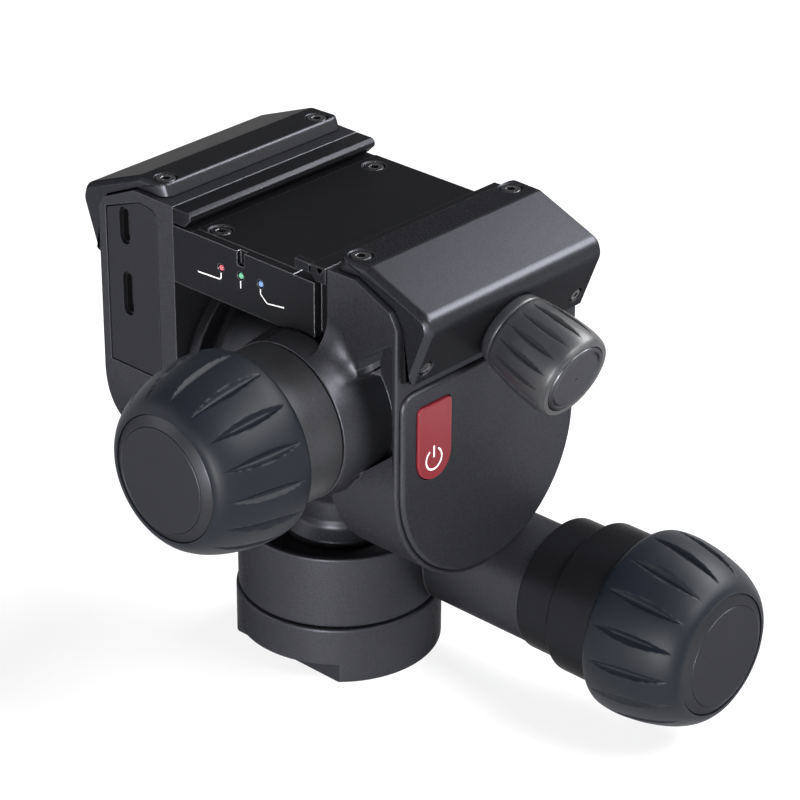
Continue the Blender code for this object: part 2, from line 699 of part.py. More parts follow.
def build_case(prefix, inner, outer, cavity_front, cavity_top, cavity_inset):
    """One case: a bowl-shaped shell with a stepped roof, open on its outer side, and its cover."""
    side = 1 if outer > inner else -1
    low = min(inner, outer)
    high = max(inner, outer)
    outer_end = "end" if side > 0 else "start"
    case = extruded(prefix + "_case", bowl_outline(CASE_RADIUS, -CASE_RADIUS, CASE_RADIUS, CASE_TOP), "YZ",
                    low, high, CASTING, edge=0.6 * MM, edge_ends=(outer_end,))
    roof = roof_line(inner, outer)
    slope = (outer + side * MM, roof[-1][1] - MM * ROOF_EDGE_DROP / ROOF_SHOULDER_RUN)
    above = [(inner - side * MM, roof[0][1])] + roof[1:-1] + [slope, (slope[0], CASE_TOP + 9 * MM)]
    above.append((inner - side * MM, CASE_TOP + 9 * MM))
    reach = CASE_RADIUS + 5 * MM
    cut(case, extruded(prefix + "_roof", above, "XZ", -reach, reach, CASTING))

    seat = CASE_RADIUS - COVER_REBATE
    rebate = outer - side * (COVER_THICKNESS - COVER_PROUD)
    cut(case, extruded(prefix + "_rebate", bowl_outline(seat, -seat, seat, COVER_TOP + GAP), "YZ",
                       *sorted((rebate, outer + side * MM)), CASTING))
    cavity_radius = CASE_RADIUS - cavity_inset
    cavity = bowl_outline(cavity_radius, cavity_front, cavity_radius, cavity_top)
    cut(case, extruded(prefix + "_cavity", cavity, "YZ",
                       *sorted((inner + side * (CASE_WALL + 0.2 * MM), rebate + side * MM)), CASTING))
    bore_start = min(inner, inner + side * CASE_WALL) - MM
    cut(case, rod(prefix + "_bearing_bore", TILT_BEARING_RADIUS + GAP, (bore_start, 0, TILT_Z),
                  CASE_WALL + 2 * MM, X_AXIS, CASTING))

    plate = seat - GAP
    plate_low, plate_high = sorted((rebate + side * GAP, outer + side * COVER_PROUD))
    cover = extruded(prefix + "_cover", bowl_outline(plate, -plate, plate, COVER_TOP), "YZ",
                     plate_low, plate_high, CASTING, edge=COVER_EDGE, edge_ends=(outer_end,))
    return case, cover


def build_barrel(case):
    """The barrel root cast onto the right case, its gear chamber, motor and collar."""
    root_rear = -22.0 * MM
    root_front = BARREL_SEAM + GAP
    root = turned("barrel_root", (
        (0, 0),
        (BARREL_ROOT_RADIUS - 1.1 * MM, 0),
        (BARREL_ROOT_RADIUS - 0.6 * MM, 3.0 * MM),
        (BARREL_ROOT_RADIUS, 7.0 * MM),
        (BARREL_ROOT_RADIUS, root_rear - root_front),
        (0, root_rear - root_front),
    ), Y_AXIS, (TILT_KNOB_X, root_front, TILT_KNOB_Z), CASTING)
    left = TILT_KNOB_X - BARREL_ROOT_RADIUS - MM
    inside = RIGHT_INNER - 0.15 * MM
    cut(root, rod("root_hub_clearance", CASE_RADIUS, (left, 0, TILT_Z), inside - left, X_AXIS, CASTING,
                  FINE_STEPS))
    cut(root, block("root_bed_clearance", (left, LIP_FRONT - GAP, LIP_BOTTOM - GAP),
                    (inside, 0, CASE_TOP), CASTING))
    fuse(case, root)
    cut(case, extruded("front_pocket", POCKET_OUTLINE, "XZ", -CASE_RADIUS - 10 * MM, POCKET_BACK, CASTING))

    motor_bore = TILT_MOTOR_RADIUS + GAP
    chamber_back = GEAR_FRONT + GEAR_WIDTH + GAP
    cut(case, rod("tilt_motor_bore", motor_bore, (TILT_KNOB_X, BARREL_SEAM - MM, TILT_KNOB_Z),
                  GEAR_FRONT - GAP - BARREL_SEAM + MM, Y_AXIS, CASTING))
    cut(case, rod("pinion_chamber", PINION_RADIUS + 0.4 * MM, (TILT_KNOB_X, GEAR_FRONT - MM, TILT_KNOB_Z),
                  chamber_back - GEAR_FRONT + MM, Y_AXIS, CASTING))
    gear_radius = TILT_WORM_X - TILT_KNOB_X - PINION_RADIUS - GAP
    cut(case, rod("gear_chamber", gear_radius + 0.4 * MM, (TILT_WORM_X, GEAR_FRONT - GAP, TILT_KNOB_Z),
                  chamber_back - GEAR_FRONT + GAP, Y_AXIS, CASTING))
    bore_front = (TILT_WORM_X, chamber_back - MM, TILT_KNOB_Z)
    cut(case, rod("tilt_worm_bore", TILT_WORM_RADIUS + 0.4 * MM, bore_front,
                  TILT_WORM_END + 2 * MM - chamber_back, Y_AXIS, CASTING, SMALL_STEPS))

    collar_end = BARREL_SEAM - BARREL_LENGTH
    wall = 2.0 * MM
    turned("barrel_collar", (
        (STEM_RADIUS + GAP, 0),
        (LOCK_RADIUS - CHAMFER, 0),
        (LOCK_RADIUS, CHAMFER),
        (LOCK_RADIUS, BARREL_LENGTH - CHAMFER),
        (LOCK_RADIUS - CHAMFER, BARREL_LENGTH),
        (motor_bore, BARREL_LENGTH),
        (motor_bore, wall),
        (STEM_RADIUS + GAP, wall),
    ), Y_AXIS, (TILT_KNOB_X, collar_end, TILT_KNOB_Z), TURNED)
    motor_front = collar_end + wall + GAP
    rod("tilt_motor", TILT_MOTOR_RADIUS, (TILT_KNOB_X, motor_front, TILT_KNOB_Z),
        TILT_MOTOR_REAR - motor_front, Y_AXIS, STEEL)
    rod("tilt_pinion", PINION_RADIUS, (TILT_KNOB_X, GEAR_FRONT, TILT_KNOB_Z), GEAR_WIDTH, Y_AXIS, BRASS)
    turned("tilt_worm", (
        (0, 0),
        (gear_radius, 0),
        (gear_radius, GEAR_WIDTH),
        (WORM_SHAFT_RADIUS, GEAR_WIDTH),
        (WORM_SHAFT_RADIUS, -TILT_WORM_END - GEAR_FRONT),
        (TILT_WORM_RADIUS, -TILT_WORM_END - GEAR_FRONT),
        (TILT_WORM_RADIUS, TILT_WORM_END - GEAR_FRONT),
        (0, TILT_WORM_END - GEAR_FRONT),
    ), Y_AXIS, (TILT_WORM_X, GEAR_FRONT, TILT_KNOB_Z), STEEL, SMALL_STEPS)


def build_clamp_bed():
    """The bed that bridges the cases, with the lamp bar on its front, and the fixed jaw."""
    bed = block("clamp_bed", (BED_LEFT, LIP_BACK, BED_BOTTOM), (BED_RIGHT, BED_HALF, BED_FLOOR), CASTING)
    fuse(bed, block("lamp_bar", (BED_LEFT, LIP_FRONT, LIP_BOTTOM),
                    (LIP_RIGHT, LIP_BACK + MM, BED_FLOOR - 0.1 * MM), CASTING))
    cut(bed, block("bar_notch", (-1.7 * MM, LIP_FRONT - MM, 106.0 * MM),
                   (0.5 * MM, LIP_FRONT + 1.2 * MM, BED_FLOOR + MM), CASTING))
    cut(bed, block("tail_notch", (MOVING_JAW_EDGE - 0.1 * MM, -TAIL_HALF - GAP, BED_BOTTOM - MM),
                   (BED_RIGHT + MM, TAIL_HALF + GAP, BED_FLOOR + MM), CASTING))
    for index, (x, lamp) in enumerate(zip(LAMP_X, (LAMP_RED, LAMP_GREEN, LAMP_BLUE))):
        cut(bed, rod(f"lamp_hole_{index}", LAMP_RADIUS + GAP, (x, LIP_FRONT - MM, LAMP_Z), 2.5 * MM, Y_AXIS,
                     CASTING, SMALL_STEPS))
        rod(("lamp_red", "lamp_green", "lamp_blue")[index], LAMP_RADIUS, (x, LIP_FRONT, LAMP_Z), 1.2 * MM,
            Y_AXIS, lamp, SMALL_STEPS)
    seats = (
        ("jaw_seat_left", BED_LEFT - MM, CHANNEL_LEFT),
        ("jaw_seat_right", CHANNEL_RIGHT, BED_RIGHT + MM),
    )
    for name, left, right in seats:
        cut(bed, block(name, (left, LIP_FRONT - MM, BED_FLOOR - JAW_SEAT_DROP),
                       (right, BED_HALF + MM, BED_FLOOR + MM), CASTING))
    sink_screws(("bed_screw_front", "bed_screw_rear"), bed,
                [((BED_SCREW_X, sign * BED_SCREW_Y, BED_FLOOR), Z_AXIS) for sign in (-1, 1)], SCREW_RADIUS)

    floor = BED_FLOOR + GAP
    rise = JAW_TOP - JAW_LIP - floor
    back = LEFT_INNER + GAP
    extruded("fixed_jaw", (
        (back, floor),
        (FIXED_JAW_EDGE - rise, floor),
        (FIXED_JAW_EDGE, JAW_TOP - JAW_LIP),
        (FIXED_JAW_EDGE, JAW_TOP - 0.3 * MM),
        (FIXED_JAW_EDGE - 0.3 * MM, JAW_TOP),
        (back, JAW_TOP),
    ), "XZ", LIP_FRONT, BED_HALF, CASTING)


def build_moving_jaw(right_case):
    """The sliding jaw with its tail, the nut that draws it and the notch that the tail runs in."""
    floor = BED_FLOOR + GAP
    rise = JAW_TOP - JAW_LIP - floor
    back = BED_RIGHT
    jaw = extruded("moving_jaw", (
        (MOVING_JAW_EDGE, JAW_TOP - JAW_LIP),
        (MOVING_JAW_EDGE + rise, floor),
        (back, floor),
        (back, JAW_TOP),
        (MOVING_JAW_EDGE + 0.3 * MM, JAW_TOP),
        (MOVING_JAW_EDGE, JAW_TOP - 0.3 * MM),
    ), "XZ", LIP_FRONT, BED_HALF, CASTING)
    lug_low = JAW_TOP - 2.4 * MM
    lug_high = JAW_TOP - 0.1 * MM
    lugs = (("front_lug", LIP_FRONT, LIP_FRONT + LUG_DEPTH), ("rear_lug", REAR_LUG_START, BED_HALF))
    for name, start, end in lugs:
        fuse(jaw, block(name, (LUG_EDGE, start, lug_low), (MOVING_JAW_EDGE + MM, end, lug_high), CASTING))
    fuse(jaw, block("jaw_tail", (TAIL_LEFT, -TAIL_HALF, TAIL_LOW), (TAIL_RIGHT, TAIL_HALF, TAIL_HIGH),
                    CASTING))
    nut_x = NUT_LEFT + NUT_WIDTH / 2
    screw = clamp_point_at(nut_x)
    lift = JAW_TRAVEL * math.tan(CLAMP_TILT)
    nut_high = screw.z + NUT_HALF_HEIGHT
    cut(jaw, block("nut_chamber", (NUT_LEFT - GAP, -NUT_HALF - GAP, TAIL_LOW - MM),
                   (NUT_LEFT + NUT_WIDTH + GAP, NUT_HALF + GAP, nut_high + lift + GAP), CASTING))
    slot_half = CLAMP_SCREW_RADIUS + GAP
    slot_high = clamp_point_at(NUT_LEFT - JAW_TRAVEL).z + slot_half + 0.6 * MM
    cut(jaw, block("screw_slot", (TAIL_LEFT - MM, -slot_half, TAIL_LOW - MM),
                   (TAIL_RIGHT + MM, slot_half, slot_high), CASTING))
    nut = block("clamp_nut", (NUT_LEFT, -NUT_HALF, screw.z - NUT_HALF_HEIGHT),
                (NUT_LEFT + NUT_WIDTH, NUT_HALF, nut_high), BRASS, 0.3 * MM)
    cut(nut, rod("nut_bore", CLAMP_SCREW_RADIUS + GAP, clamp_point_at(NUT_LEFT - 4 * MM), 12 * MM, CLAMP_AXIS,
                 BRASS, SMALL_STEPS))
    cut(right_case, block("case_tail_notch", (RIGHT_INNER - MM, -TAIL_HALF - GAP, TAIL_LOW - 3.0 * MM),
                          (TAIL_RIGHT + GAP, TAIL_HALF + GAP, CASE_TOP + MM), CASTING))
    start = clamp_point_at(TAIL_RIGHT - 2 * MM)
    bore_length = (clamp_point_at(RIGHT_OUTER + 3 * MM) - start).length
    cut(right_case, rod("case_screw_bore", CLAMP_SCREW_RADIUS + GAP, start, bore_length, CLAMP_AXIS, CASTING,
                        SMALL_STEPS))


def build_clamp_knob():
    """The clamp's fluted knob, its turned end disc and the screw behind it, on the tilted axis."""
    rear = clamp_point(CLAMP_KNOB_LENGTH)
    body = (
        (7.9 * MM, 0),
        (8.8 * MM, 0.9 * MM),
        (9.2 * MM, 3.0 * MM),
        (9.9 * MM, 8.0 * MM),
        (10.4 * MM, 13.0 * MM),
        (10.4 * MM, 17.0 * MM),
        (10.0 * MM, 19.4 * MM),
        (9.5 * MM, CLAMP_KNOB_LENGTH),
    )
    disc_start = CLAMP_KNOB_LENGTH - 2.0 * MM
    shelf = disc_start - GAP
    hollow = ((CLAMP_DISC_RADIUS, CLAMP_KNOB_LENGTH), (CLAMP_DISC_RADIUS, shelf), (CLAMP_BORE, shelf),
              (CLAMP_BORE, 0))
    fluted_grip("clamp_knob_grip", body, 2.2 * MM, 17.0 * MM, CLAMP_FLUTES, CLAMP_FLUTE_DEPTH, hollow,
                CLAMP_AXIS, rear)
    tip = clamp_point_at(CLAMP_SCREW_TIP_X)
    turned("clamp_screw", (
        (0, 0),
        (CLAMP_SCREW_RADIUS, 0),
        (CLAMP_SCREW_RADIUS, (rear - tip).length + 0.2 * MM),
        (CLAMP_BORE - GAP, (rear - tip).length + 0.2 * MM),
        (CLAMP_BORE - GAP, (rear - tip).length + shelf),
        (0, (rear - tip).length + shelf),
    ), CLAMP_AXIS, tip, STEEL, ROUND_STEPS)
    groove = 6.9 * MM
    turned("clamp_knob_disc", (
        (0, 0),
        (CLAMP_DISC_RADIUS - GAP, 0),
        (CLAMP_DISC_RADIUS - GAP, 2.0 * MM),
        (CLAMP_DISC_RADIUS - 0.6 * MM, 2.3 * MM),
        (groove + 0.3 * MM, 2.3 * MM),
        (groove, 2.0 * MM),
        (groove - 0.3 * MM, 2.3 * MM),
        (0, 2.3 * MM),
    ), CLAMP_AXIS, rear + CLAMP_AXIS * disc_start, SATIN, ROUND_STEPS)
    boss_back = CLAMP_KNOB_LENGTH + GAP
    boss_length = 9.0 * MM
    boss = turned("clamp_boss", plain_tube(CLAMP_BOSS_RADIUS, CLAMP_SCREW_RADIUS + GAP, boss_length),
                  CLAMP_AXIS, clamp_point(boss_back + boss_length), CASTING, ROUND_STEPS)
    cut(boss, block("boss_seat", (RIGHT_OUTER - 12 * MM, -20 * MM, BED_BOTTOM - 20 * MM),
                    (RIGHT_OUTER + GAP, 20 * MM, CASE_TOP + 9 * MM), CASTING))


def pulled_in(points, side, distance):
    """A hood's outer run in (x, z), each point moved inward by a distance along its corner's normal."""
    moved = []
    last = len(points) - 1
    for index, (x, z) in enumerate(points):
        before = points[max(index - 1, 0)]
        after = points[min(index + 1, last)]
        along = Vector((after[0] - before[0], after[1] - before[1])).normalized()
        inward = Vector((along.y, -along.x)) * side
        if index == last:
            inward = Vector((-side, 0))
        moved.append((x + inward.x * distance, z + inward.y * distance))
    return moved


def hood_outline(section, inner, outer, inset):
    """A hood's whole section in (x, z): its outer run, then its underside along the case's roof."""
    side = 1 if outer > inner else -1
    skin = [(x + side * GAP, z + GAP) for x, z in roof_line(inner, outer)]
    foot = (skin[3][0], section[-1][1])
    return [(side * HOOD_INNER, skin[0][1])] + pulled_in(section, side, inset) + [foot] + skin[3:0:-1]


def build_hood(prefix, section, inner, outer):
    """One hood: a thick cover over a case's roof and upper side, chamfered at its ends, with two screws."""
    stations = (
        (HOOD_FRONT, HOOD_EDGE),
        (HOOD_FRONT + HOOD_EDGE, 0.0),
        (HOOD_REAR - HOOD_EDGE, 0.0),
        (HOOD_REAR, HOOD_EDGE),
    )
    made = bmesh.new()
    rings = []
    for y, inset in stations:
        rings.append([made.verts.new((x, y, z)) for x, z in hood_outline(section, inner, outer, inset)])
    for low, high in zip(rings, rings[1:]):
        for index in range(len(low)):
            after = (index + 1) % len(low)
            made.faces.new((low[index], low[after], high[after], high[index]))
    made.faces.new(rings[0])
    made.faces.new(rings[-1])
    hood = finish(prefix + "_hood", made, Matrix.Identity(4), CASTING)
    (x1, z1), (x2, z2) = section[0], section[1]
    screw_x = math.copysign(HOOD_SCREW_X, x1)
    top = z1 + (z2 - z1) * (screw_x - x1) / (x2 - x1)
    sink_screws((prefix + "_hood_screw_front", prefix + "_hood_screw_rear"), hood,
                [((screw_x, sign * HOOD_SCREW_Y, top), Z_AXIS) for sign in (-1, 1)], SCREW_RADIUS)
    return hood


def sink_screws(names, target, spots, radius, depth=SCREW_DEPTH):
    """Counterbore target at each (point, normal) and stand one socket screw in each."""
    sides = 12
    socket = radius * 0.5
    rings_wanted = (
        (radius, 0),
        (radius, depth - 0.5 * MM),
        (radius - 0.3 * MM, depth - 0.2 * MM),
        (socket, depth - 0.2 * MM),
        (socket, depth * 0.4),
    )
    for name, (spot, normal) in zip(names, spots):
        spot = Vector(spot)
        cut(target, rod(name + "_seat", radius + GAP, spot - normal * (depth + GAP), depth + 2 * MM, normal,
                        CASTING, SMALL_STEPS))
        screw = bmesh.new()
        rings = []
        for ring_radius, height in rings_wanted:
            ring = []
            for step in range(sides):
                angle = 2 * math.pi * step / sides
                reach = ring_radius
                if ring_radius == socket:
                    reach = socket * math.cos(math.pi / 6) / math.cos(angle % (math.pi / 3) - math.pi / 6)
                ring.append(screw.verts.new((reach * math.cos(angle), reach * math.sin(angle), height)))
            rings.append(ring)
        for low, high in zip(rings, rings[1:]):
            for step in range(sides):
                after = (step + 1) % sides
                screw.faces.new((low[step], low[after], high[after], high[step]))
        screw.faces.new(rings[0])
        screw.faces.new(rings[-1])
        finish(name, screw, facing(normal, spot - normal * depth), STEEL)


def sink_side_screws(hood):
    """The two small screws low on the right hood's side face."""
    (upper_x, upper_z), (lower_x, lower_z) = RIGHT_HOOD_SECTION[-2], RIGHT_HOOD_SECTION[-1]
    normal = Vector((upper_z - lower_z, 0, lower_x - upper_x)).normalized()
    x = lower_x + (upper_x - lower_x) * (SIDE_SCREW_Z - lower_z) / (upper_z - lower_z)
    sink_screws(("side_screw_front", "side_screw_rear"), hood,
                [((x, sign * SIDE_SCREW_Y, SIDE_SCREW_Z), normal) for sign in (-1, 1)],
                SIDE_SCREW_RADIUS, SIDE_SCREW_DEPTH)


def build_ports(case):
    """The inset port panel on the left case's front and the two sockets behind it."""
    face = -CASE_RADIUS
    back = face + PANEL_THICKNESS + GAP
    outline = [
        (PANEL_RIGHT, PANEL_LOW),
        (PANEL_RIGHT, PANEL_HIGH - 0.6 * MM),
        (-33.3 * MM, PANEL_HIGH),
        (PANEL_LEFT, PANEL_HIGH - 4.2 * MM),
        (PANEL_LEFT, PANEL_LOW),
    ]
    centre_x = (PANEL_LEFT + PANEL_RIGHT) / 2
    centre_z = (PANEL_LOW + PANEL_HIGH) / 2
    recess = [(x + math.copysign(GAP, x - centre_x), z + math.copysign(GAP, z - centre_z))
              for x, z in outline]
    cut(case, extruded("panel_recess", recess, "XZ", face - MM, back, CASTING))
    panel = extruded("port_panel", outline, "XZ", face + 0.1 * MM, back - GAP, PLASTIC)
    sockets = (("usb_socket", USB_X, USB_Z, USB_LENGTH), ("hdmi_socket", HDMI_X, HDMI_Z, HDMI_LENGTH))
    for name, x, z, length in sockets:
        opening = slot_outline(x, z, SLOT_WIDTH, length)
        cut(panel, extruded(name + "_slot", opening, "XZ", face - MM, back + MM, PLASTIC))
        cut(case, extruded(name + "_wall_slot", opening, "XZ", face - MM, face + 8 * MM, CASTING))
        shell_width = SLOT_WIDTH - 2 * GAP
        shell_length = length - 2 * GAP
        front = face + 0.8 * MM
        shell = extruded(name, slot_outline(x, z, shell_width, shell_length), "XZ", front, PORT_BOARD_FRONT - GAP,
                         STEEL)
        wall = 0.3 * MM
        cut(shell, extruded(name + "_mouth", slot_outline(x, z, shell_width - 2 * wall, shell_length - 2 * wall),
                            "XZ", front - MM, PORT_BOARD_FRONT - 1.2 * MM, STEEL))
        fuse(shell, block(name + "_tongue", (x - 0.35 * MM, front + 0.8 * MM, z - length * 0.3),
                          (x + 0.35 * MM, PORT_BOARD_FRONT - MM, z + length * 0.3), STEEL))


def build_button(cover):
    """The power button: flat-topped, round-bottomed, floating in a recess of the right cover."""
    face = RIGHT_OUTER + COVER_PROUD
    outline = []
    for step in range(13):
        angle = math.pi + math.pi * step / 12
        outline.append((BUTTON_Y + BUTTON_RADIUS * math.cos(angle),
                        BUTTON_Z + BUTTON_RADIUS * math.sin(angle)))
    corner = 1.5 * MM
    outline += [
        (BUTTON_Y + BUTTON_RADIUS, BUTTON_TOP - corner),
        (BUTTON_Y + BUTTON_RADIUS - corner * 0.3, BUTTON_TOP - corner * 0.3),
        (BUTTON_Y + BUTTON_RADIUS - corner, BUTTON_TOP),
        (BUTTON_Y - BUTTON_RADIUS + corner, BUTTON_TOP),
        (BUTTON_Y - BUTTON_RADIUS + corner * 0.3, BUTTON_TOP - corner * 0.3),
        (BUTTON_Y - BUTTON_RADIUS, BUTTON_TOP - corner),
    ]
    middle_z = (BUTTON_TOP + BUTTON_Z - BUTTON_RADIUS) / 2
    grow_y = (BUTTON_RADIUS + GAP) / BUTTON_RADIUS
    half_height = (BUTTON_TOP - BUTTON_Z + BUTTON_RADIUS) / 2
    grow_z = (half_height + GAP) / half_height
    recess = [(BUTTON_Y + (y - BUTTON_Y) * grow_y, middle_z + (z - middle_z) * grow_z) for y, z in outline]
    floor = face - COVER_THICKNESS + BUTTON_SKIN
    cut(cover, extruded("button_recess", recess, "YZ", floor, face + MM, CASTING))
    plunger_radius = 1.5 * MM
    pressed = floor + BUTTON_TRAVEL + 0.1 * MM
    origin = (pressed, BUTTON_Y, BUTTON_Z)
    button = extruded("power_button", outline, "YZ", pressed, face + BUTTON_PROUD, RED, origin,
                      0.25 * MM, ("end",))
    plunger_end = SWITCH_FACE + BUTTON_TRAVEL + 0.1 * MM
    fuse(button, rod("button_plunger", plunger_radius, (plunger_end, BUTTON_Y, BUTTON_Z),
                     pressed + 0.4 * MM - plunger_end, X_AXIS, RED, SMALL_STEPS))
    hole_start = (RIGHT_OUTER - 4 * MM, BUTTON_Y, BUTTON_Z)
    cut(cover, rod("plunger_hole", plunger_radius + GAP, hole_start, 9 * MM, X_AXIS,
                   CASTING, SMALL_STEPS))


def build_inside():
    """The battery, the boards and the switch that the button presses."""
    left_in = LEFT_INNER - CASE_WALL - 3.4 * MM
    block("battery_pack", (left_in - 14.2 * MM, -20.0 * MM, 49.4 * MM), (left_in, 20.0 * MM, 86.0 * MM),
          PLASTIC, 1.5 * MM)
    block("port_board", (-42.5 * MM, PORT_BOARD_FRONT, 79.5 * MM),
          (-32.0 * MM, PORT_BOARD_FRONT + 1.6 * MM, 108.0 * MM),
          BOARD)
    board = block("main_board", (38.4 * MM, -19.5 * MM, 52.4 * MM), (40.0 * MM, 19.5 * MM, 93.0 * MM), BOARD)
    fuse(board, block("switch_body", (39.5 * MM, BUTTON_Y - 0.5 * MM, BUTTON_Z - 2.5 * MM),
                      (SWITCH_FACE, BUTTON_Y + 4.5 * MM, BUTTON_Z + 2.5 * MM), BOARD))


def settle():
    """Apply every cut and join, drop the guides, and mark each solid's real edges sharp."""
    seen = bpy.context.evaluated_depsgraph_get()
    for piece in [piece for piece in bpy.data.objects if piece.modifiers]:
        mesh = bpy.data.meshes.new_from_object(piece.evaluated_get(seen))
        piece.modifiers.clear()
        mesh.name = piece.name
        piece.data = mesh
        mesh.shade_smooth()
        mesh.set_sharp_from_angle(angle=math.radians(32))
    for tool in [tool for tool in bpy.data.objects if tool.hide_render]:
        bpy.data.objects.remove(tool, do_unlink=True)


build_base()
build_pan_stage()
build_knob("pan_knob", X_AXIS, (PAN_KNOB_START, PAN_KNOB_Y, PAN_KNOB_Z), 21.0 * MM)
build_head()
right_case, right_cover = build_case("right", RIGHT_INNER, RIGHT_OUTER, RIGHT_CAVITY_FRONT, RIGHT_CAVITY_TOP,
                                     5.3 * MM)
left_case, left_cover = build_case("left", LEFT_INNER, LEFT_OUTER, -26.0 * MM, 108.6 * MM, 2.8 * MM)
build_barrel(right_case)
build_knob("tilt_knob", -Y_AXIS, (TILT_KNOB_X, BARREL_SEAM - BARREL_LENGTH - GAP, TILT_KNOB_Z), 2.0 * MM)
build_clamp_bed()
build_moving_jaw(right_case)
build_clamp_knob()
build_hood("left", LEFT_HOOD_SECTION, LEFT_INNER, LEFT_OUTER)
right_hood = build_hood("right", RIGHT_HOOD_SECTION, RIGHT_INNER, RIGHT_OUTER)
sink_side_screws(right_hood)
cut(right_hood, rod("boss_hole", CLAMP_BOSS_RADIUS + GAP, clamp_point_at(RIGHT_OUTER - 4 * MM), 16 * MM,
                    CLAMP_AXIS, CASTING))
build_ports(left_case)
build_button(right_cover)
build_inside()
settle()
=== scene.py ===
# A motorised pan and tilt head for a camera: a round foot, a turning housing with a side arm,
# a neck with a round head, and twin cases that tilt on it and carry a dovetail clamp on top.
import math

import bmesh
import bpy
from mathutils import Matrix, Vector


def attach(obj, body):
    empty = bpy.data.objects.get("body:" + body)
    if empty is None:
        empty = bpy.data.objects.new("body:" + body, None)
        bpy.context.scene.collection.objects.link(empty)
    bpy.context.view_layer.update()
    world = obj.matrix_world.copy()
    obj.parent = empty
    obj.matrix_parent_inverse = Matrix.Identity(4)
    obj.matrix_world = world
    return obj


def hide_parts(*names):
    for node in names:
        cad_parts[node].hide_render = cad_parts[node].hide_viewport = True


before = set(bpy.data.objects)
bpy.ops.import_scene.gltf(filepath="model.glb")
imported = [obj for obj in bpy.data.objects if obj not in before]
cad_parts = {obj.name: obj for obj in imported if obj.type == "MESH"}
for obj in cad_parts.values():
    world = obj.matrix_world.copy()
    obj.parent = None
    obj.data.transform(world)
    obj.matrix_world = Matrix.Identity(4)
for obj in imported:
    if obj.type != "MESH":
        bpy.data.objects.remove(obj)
scene = bpy.context.scene
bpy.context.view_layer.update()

# The photographer's view: a long lens from the front right and above. The room is white below
# and dim overhead, with soft lights behind, above right and front left, and a strip in front.
MM = 0.001
PHOTO_LENS = 136.22
SENSOR = 36.0
EYE = (429.181, -448.763, 386.496)
AZIMUTH = math.radians(42.40881)
ELEVATION = math.radians(27.60170)
ROLL = math.radians(0.40991)
flat = math.cos(ELEVATION)
ahead = -Vector((math.sin(AZIMUTH) * flat, -math.cos(AZIMUTH) * flat, math.sin(ELEVATION)))
level = ahead.cross(Vector((0, 0, 1))).normalized()
downward = ahead.cross(level)
across = math.cos(ROLL) * level - math.sin(ROLL) * downward
below = math.sin(ROLL) * level + math.cos(ROLL) * downward
camera = bpy.data.objects.new("camera", bpy.data.cameras.new("camera"))
camera.data.lens = PHOTO_LENS
camera.data.sensor_width = SENSOR
camera.data.clip_start = 0.01
scene.collection.objects.link(camera)
camera.matrix_world = Matrix.Translation(Vector(EYE) * MM) @ Matrix((across, -below, -ahead)).transposed().to_4x4()
scene.camera = camera
scene.view_settings.view_transform = "Standard"


def soft_light(name, place, aim, width, height, watts):
    """A rectangular soft light at place, in mm, facing aim."""
    data = bpy.data.lights.new(name, "AREA")
    data.shape = "RECTANGLE"
    data.size = width * MM
    data.size_y = height * MM
    data.energy = watts
    light = bpy.data.objects.new(name, data)
    scene.collection.objects.link(light)
    facing = (Vector(aim) - Vector(place)).to_track_quat("-Z", "Y").to_matrix().to_4x4()
    light.matrix_world = Matrix.Translation(Vector(place) * MM) @ facing


MIDDLE = (0, 0, 70)
soft_light("rear_light", (250, 620, 650), MIDDLE, 620, 300, 15.0)
soft_light("front_left_light", (-600, -700, 500), MIDDLE, 600, 500, 2.6)
soft_light("upper_right_light", (640, 60, 700), MIDDLE, 260, 260, 8.0)
soft_light("front_strip_light", (420, -860, 110), MIDDLE, 120, 360, 16.0)


def set_sockets(tree, node, values):
    """Give a node's inputs their values, or link them to the outputs that feed them."""
    for socket, value in values.items():
        if isinstance(value, bpy.types.NodeSocket):
            tree.links.new(value, node.inputs[socket])
        else:
            node.inputs[socket].default_value = value


def add_node(tree, kind, values=None, **options):
    """A new shader node of this kind, with its options and inputs set."""
    node = tree.nodes.new("ShaderNode" + kind)
    for option, value in options.items():
        setattr(node, option, value)
    set_sockets(tree, node, values or {})
    return node


def added(tree, kind, values=None, output=0, **options):
    """The output of a new shader node."""
    return add_node(tree, kind, values, **options).outputs[output]


def ranged(tree, value, low, high, to_low, to_high):
    """The value, carried over from one range to another."""
    return added(tree, "MapRange", {"Value": value, "From Min": low, "From Max": high, "To Min": to_low,
                                    "To Max": to_high}, "Result")


CEILING_LEVEL = 0.22
CEILING_START = 0.18
CEILING_FULL = 0.32
WORLD_FILL = 0.22


def white_room():
    """The world: bright white low down, where the camera looks, and a dimmer ceiling overhead."""
    world = bpy.data.worlds.new("room")
    scene.world = world
    world.use_nodes = True
    tree = world.node_tree
    way = added(tree, "TexCoord", output="Generated")
    height = added(tree, "SeparateXYZ", {"Vector": way}, "Z")
    dim = ranged(tree, height, CEILING_START, CEILING_FULL, 1.0, CEILING_LEVEL)
    diffuse = added(tree, "LightPath", output="Is Diffuse Ray")
    soft = added(tree, "Mix", {"A": 1.0, "B": WORLD_FILL, "Factor": diffuse}, "Result")
    level = added(tree, "Math", {0: dim, 1: soft}, operation="MULTIPLY")
    set_sockets(tree, tree.nodes["Background"], {"Strength": level, "Color": (1, 1, 1, 1)})


white_room()
PAPER_TONE = 0.80
SHADOW_TONE = 0.26
NEAR_GLOW = 0.80
GLOW_START = 0.35
GLOW_FULL = 0.90


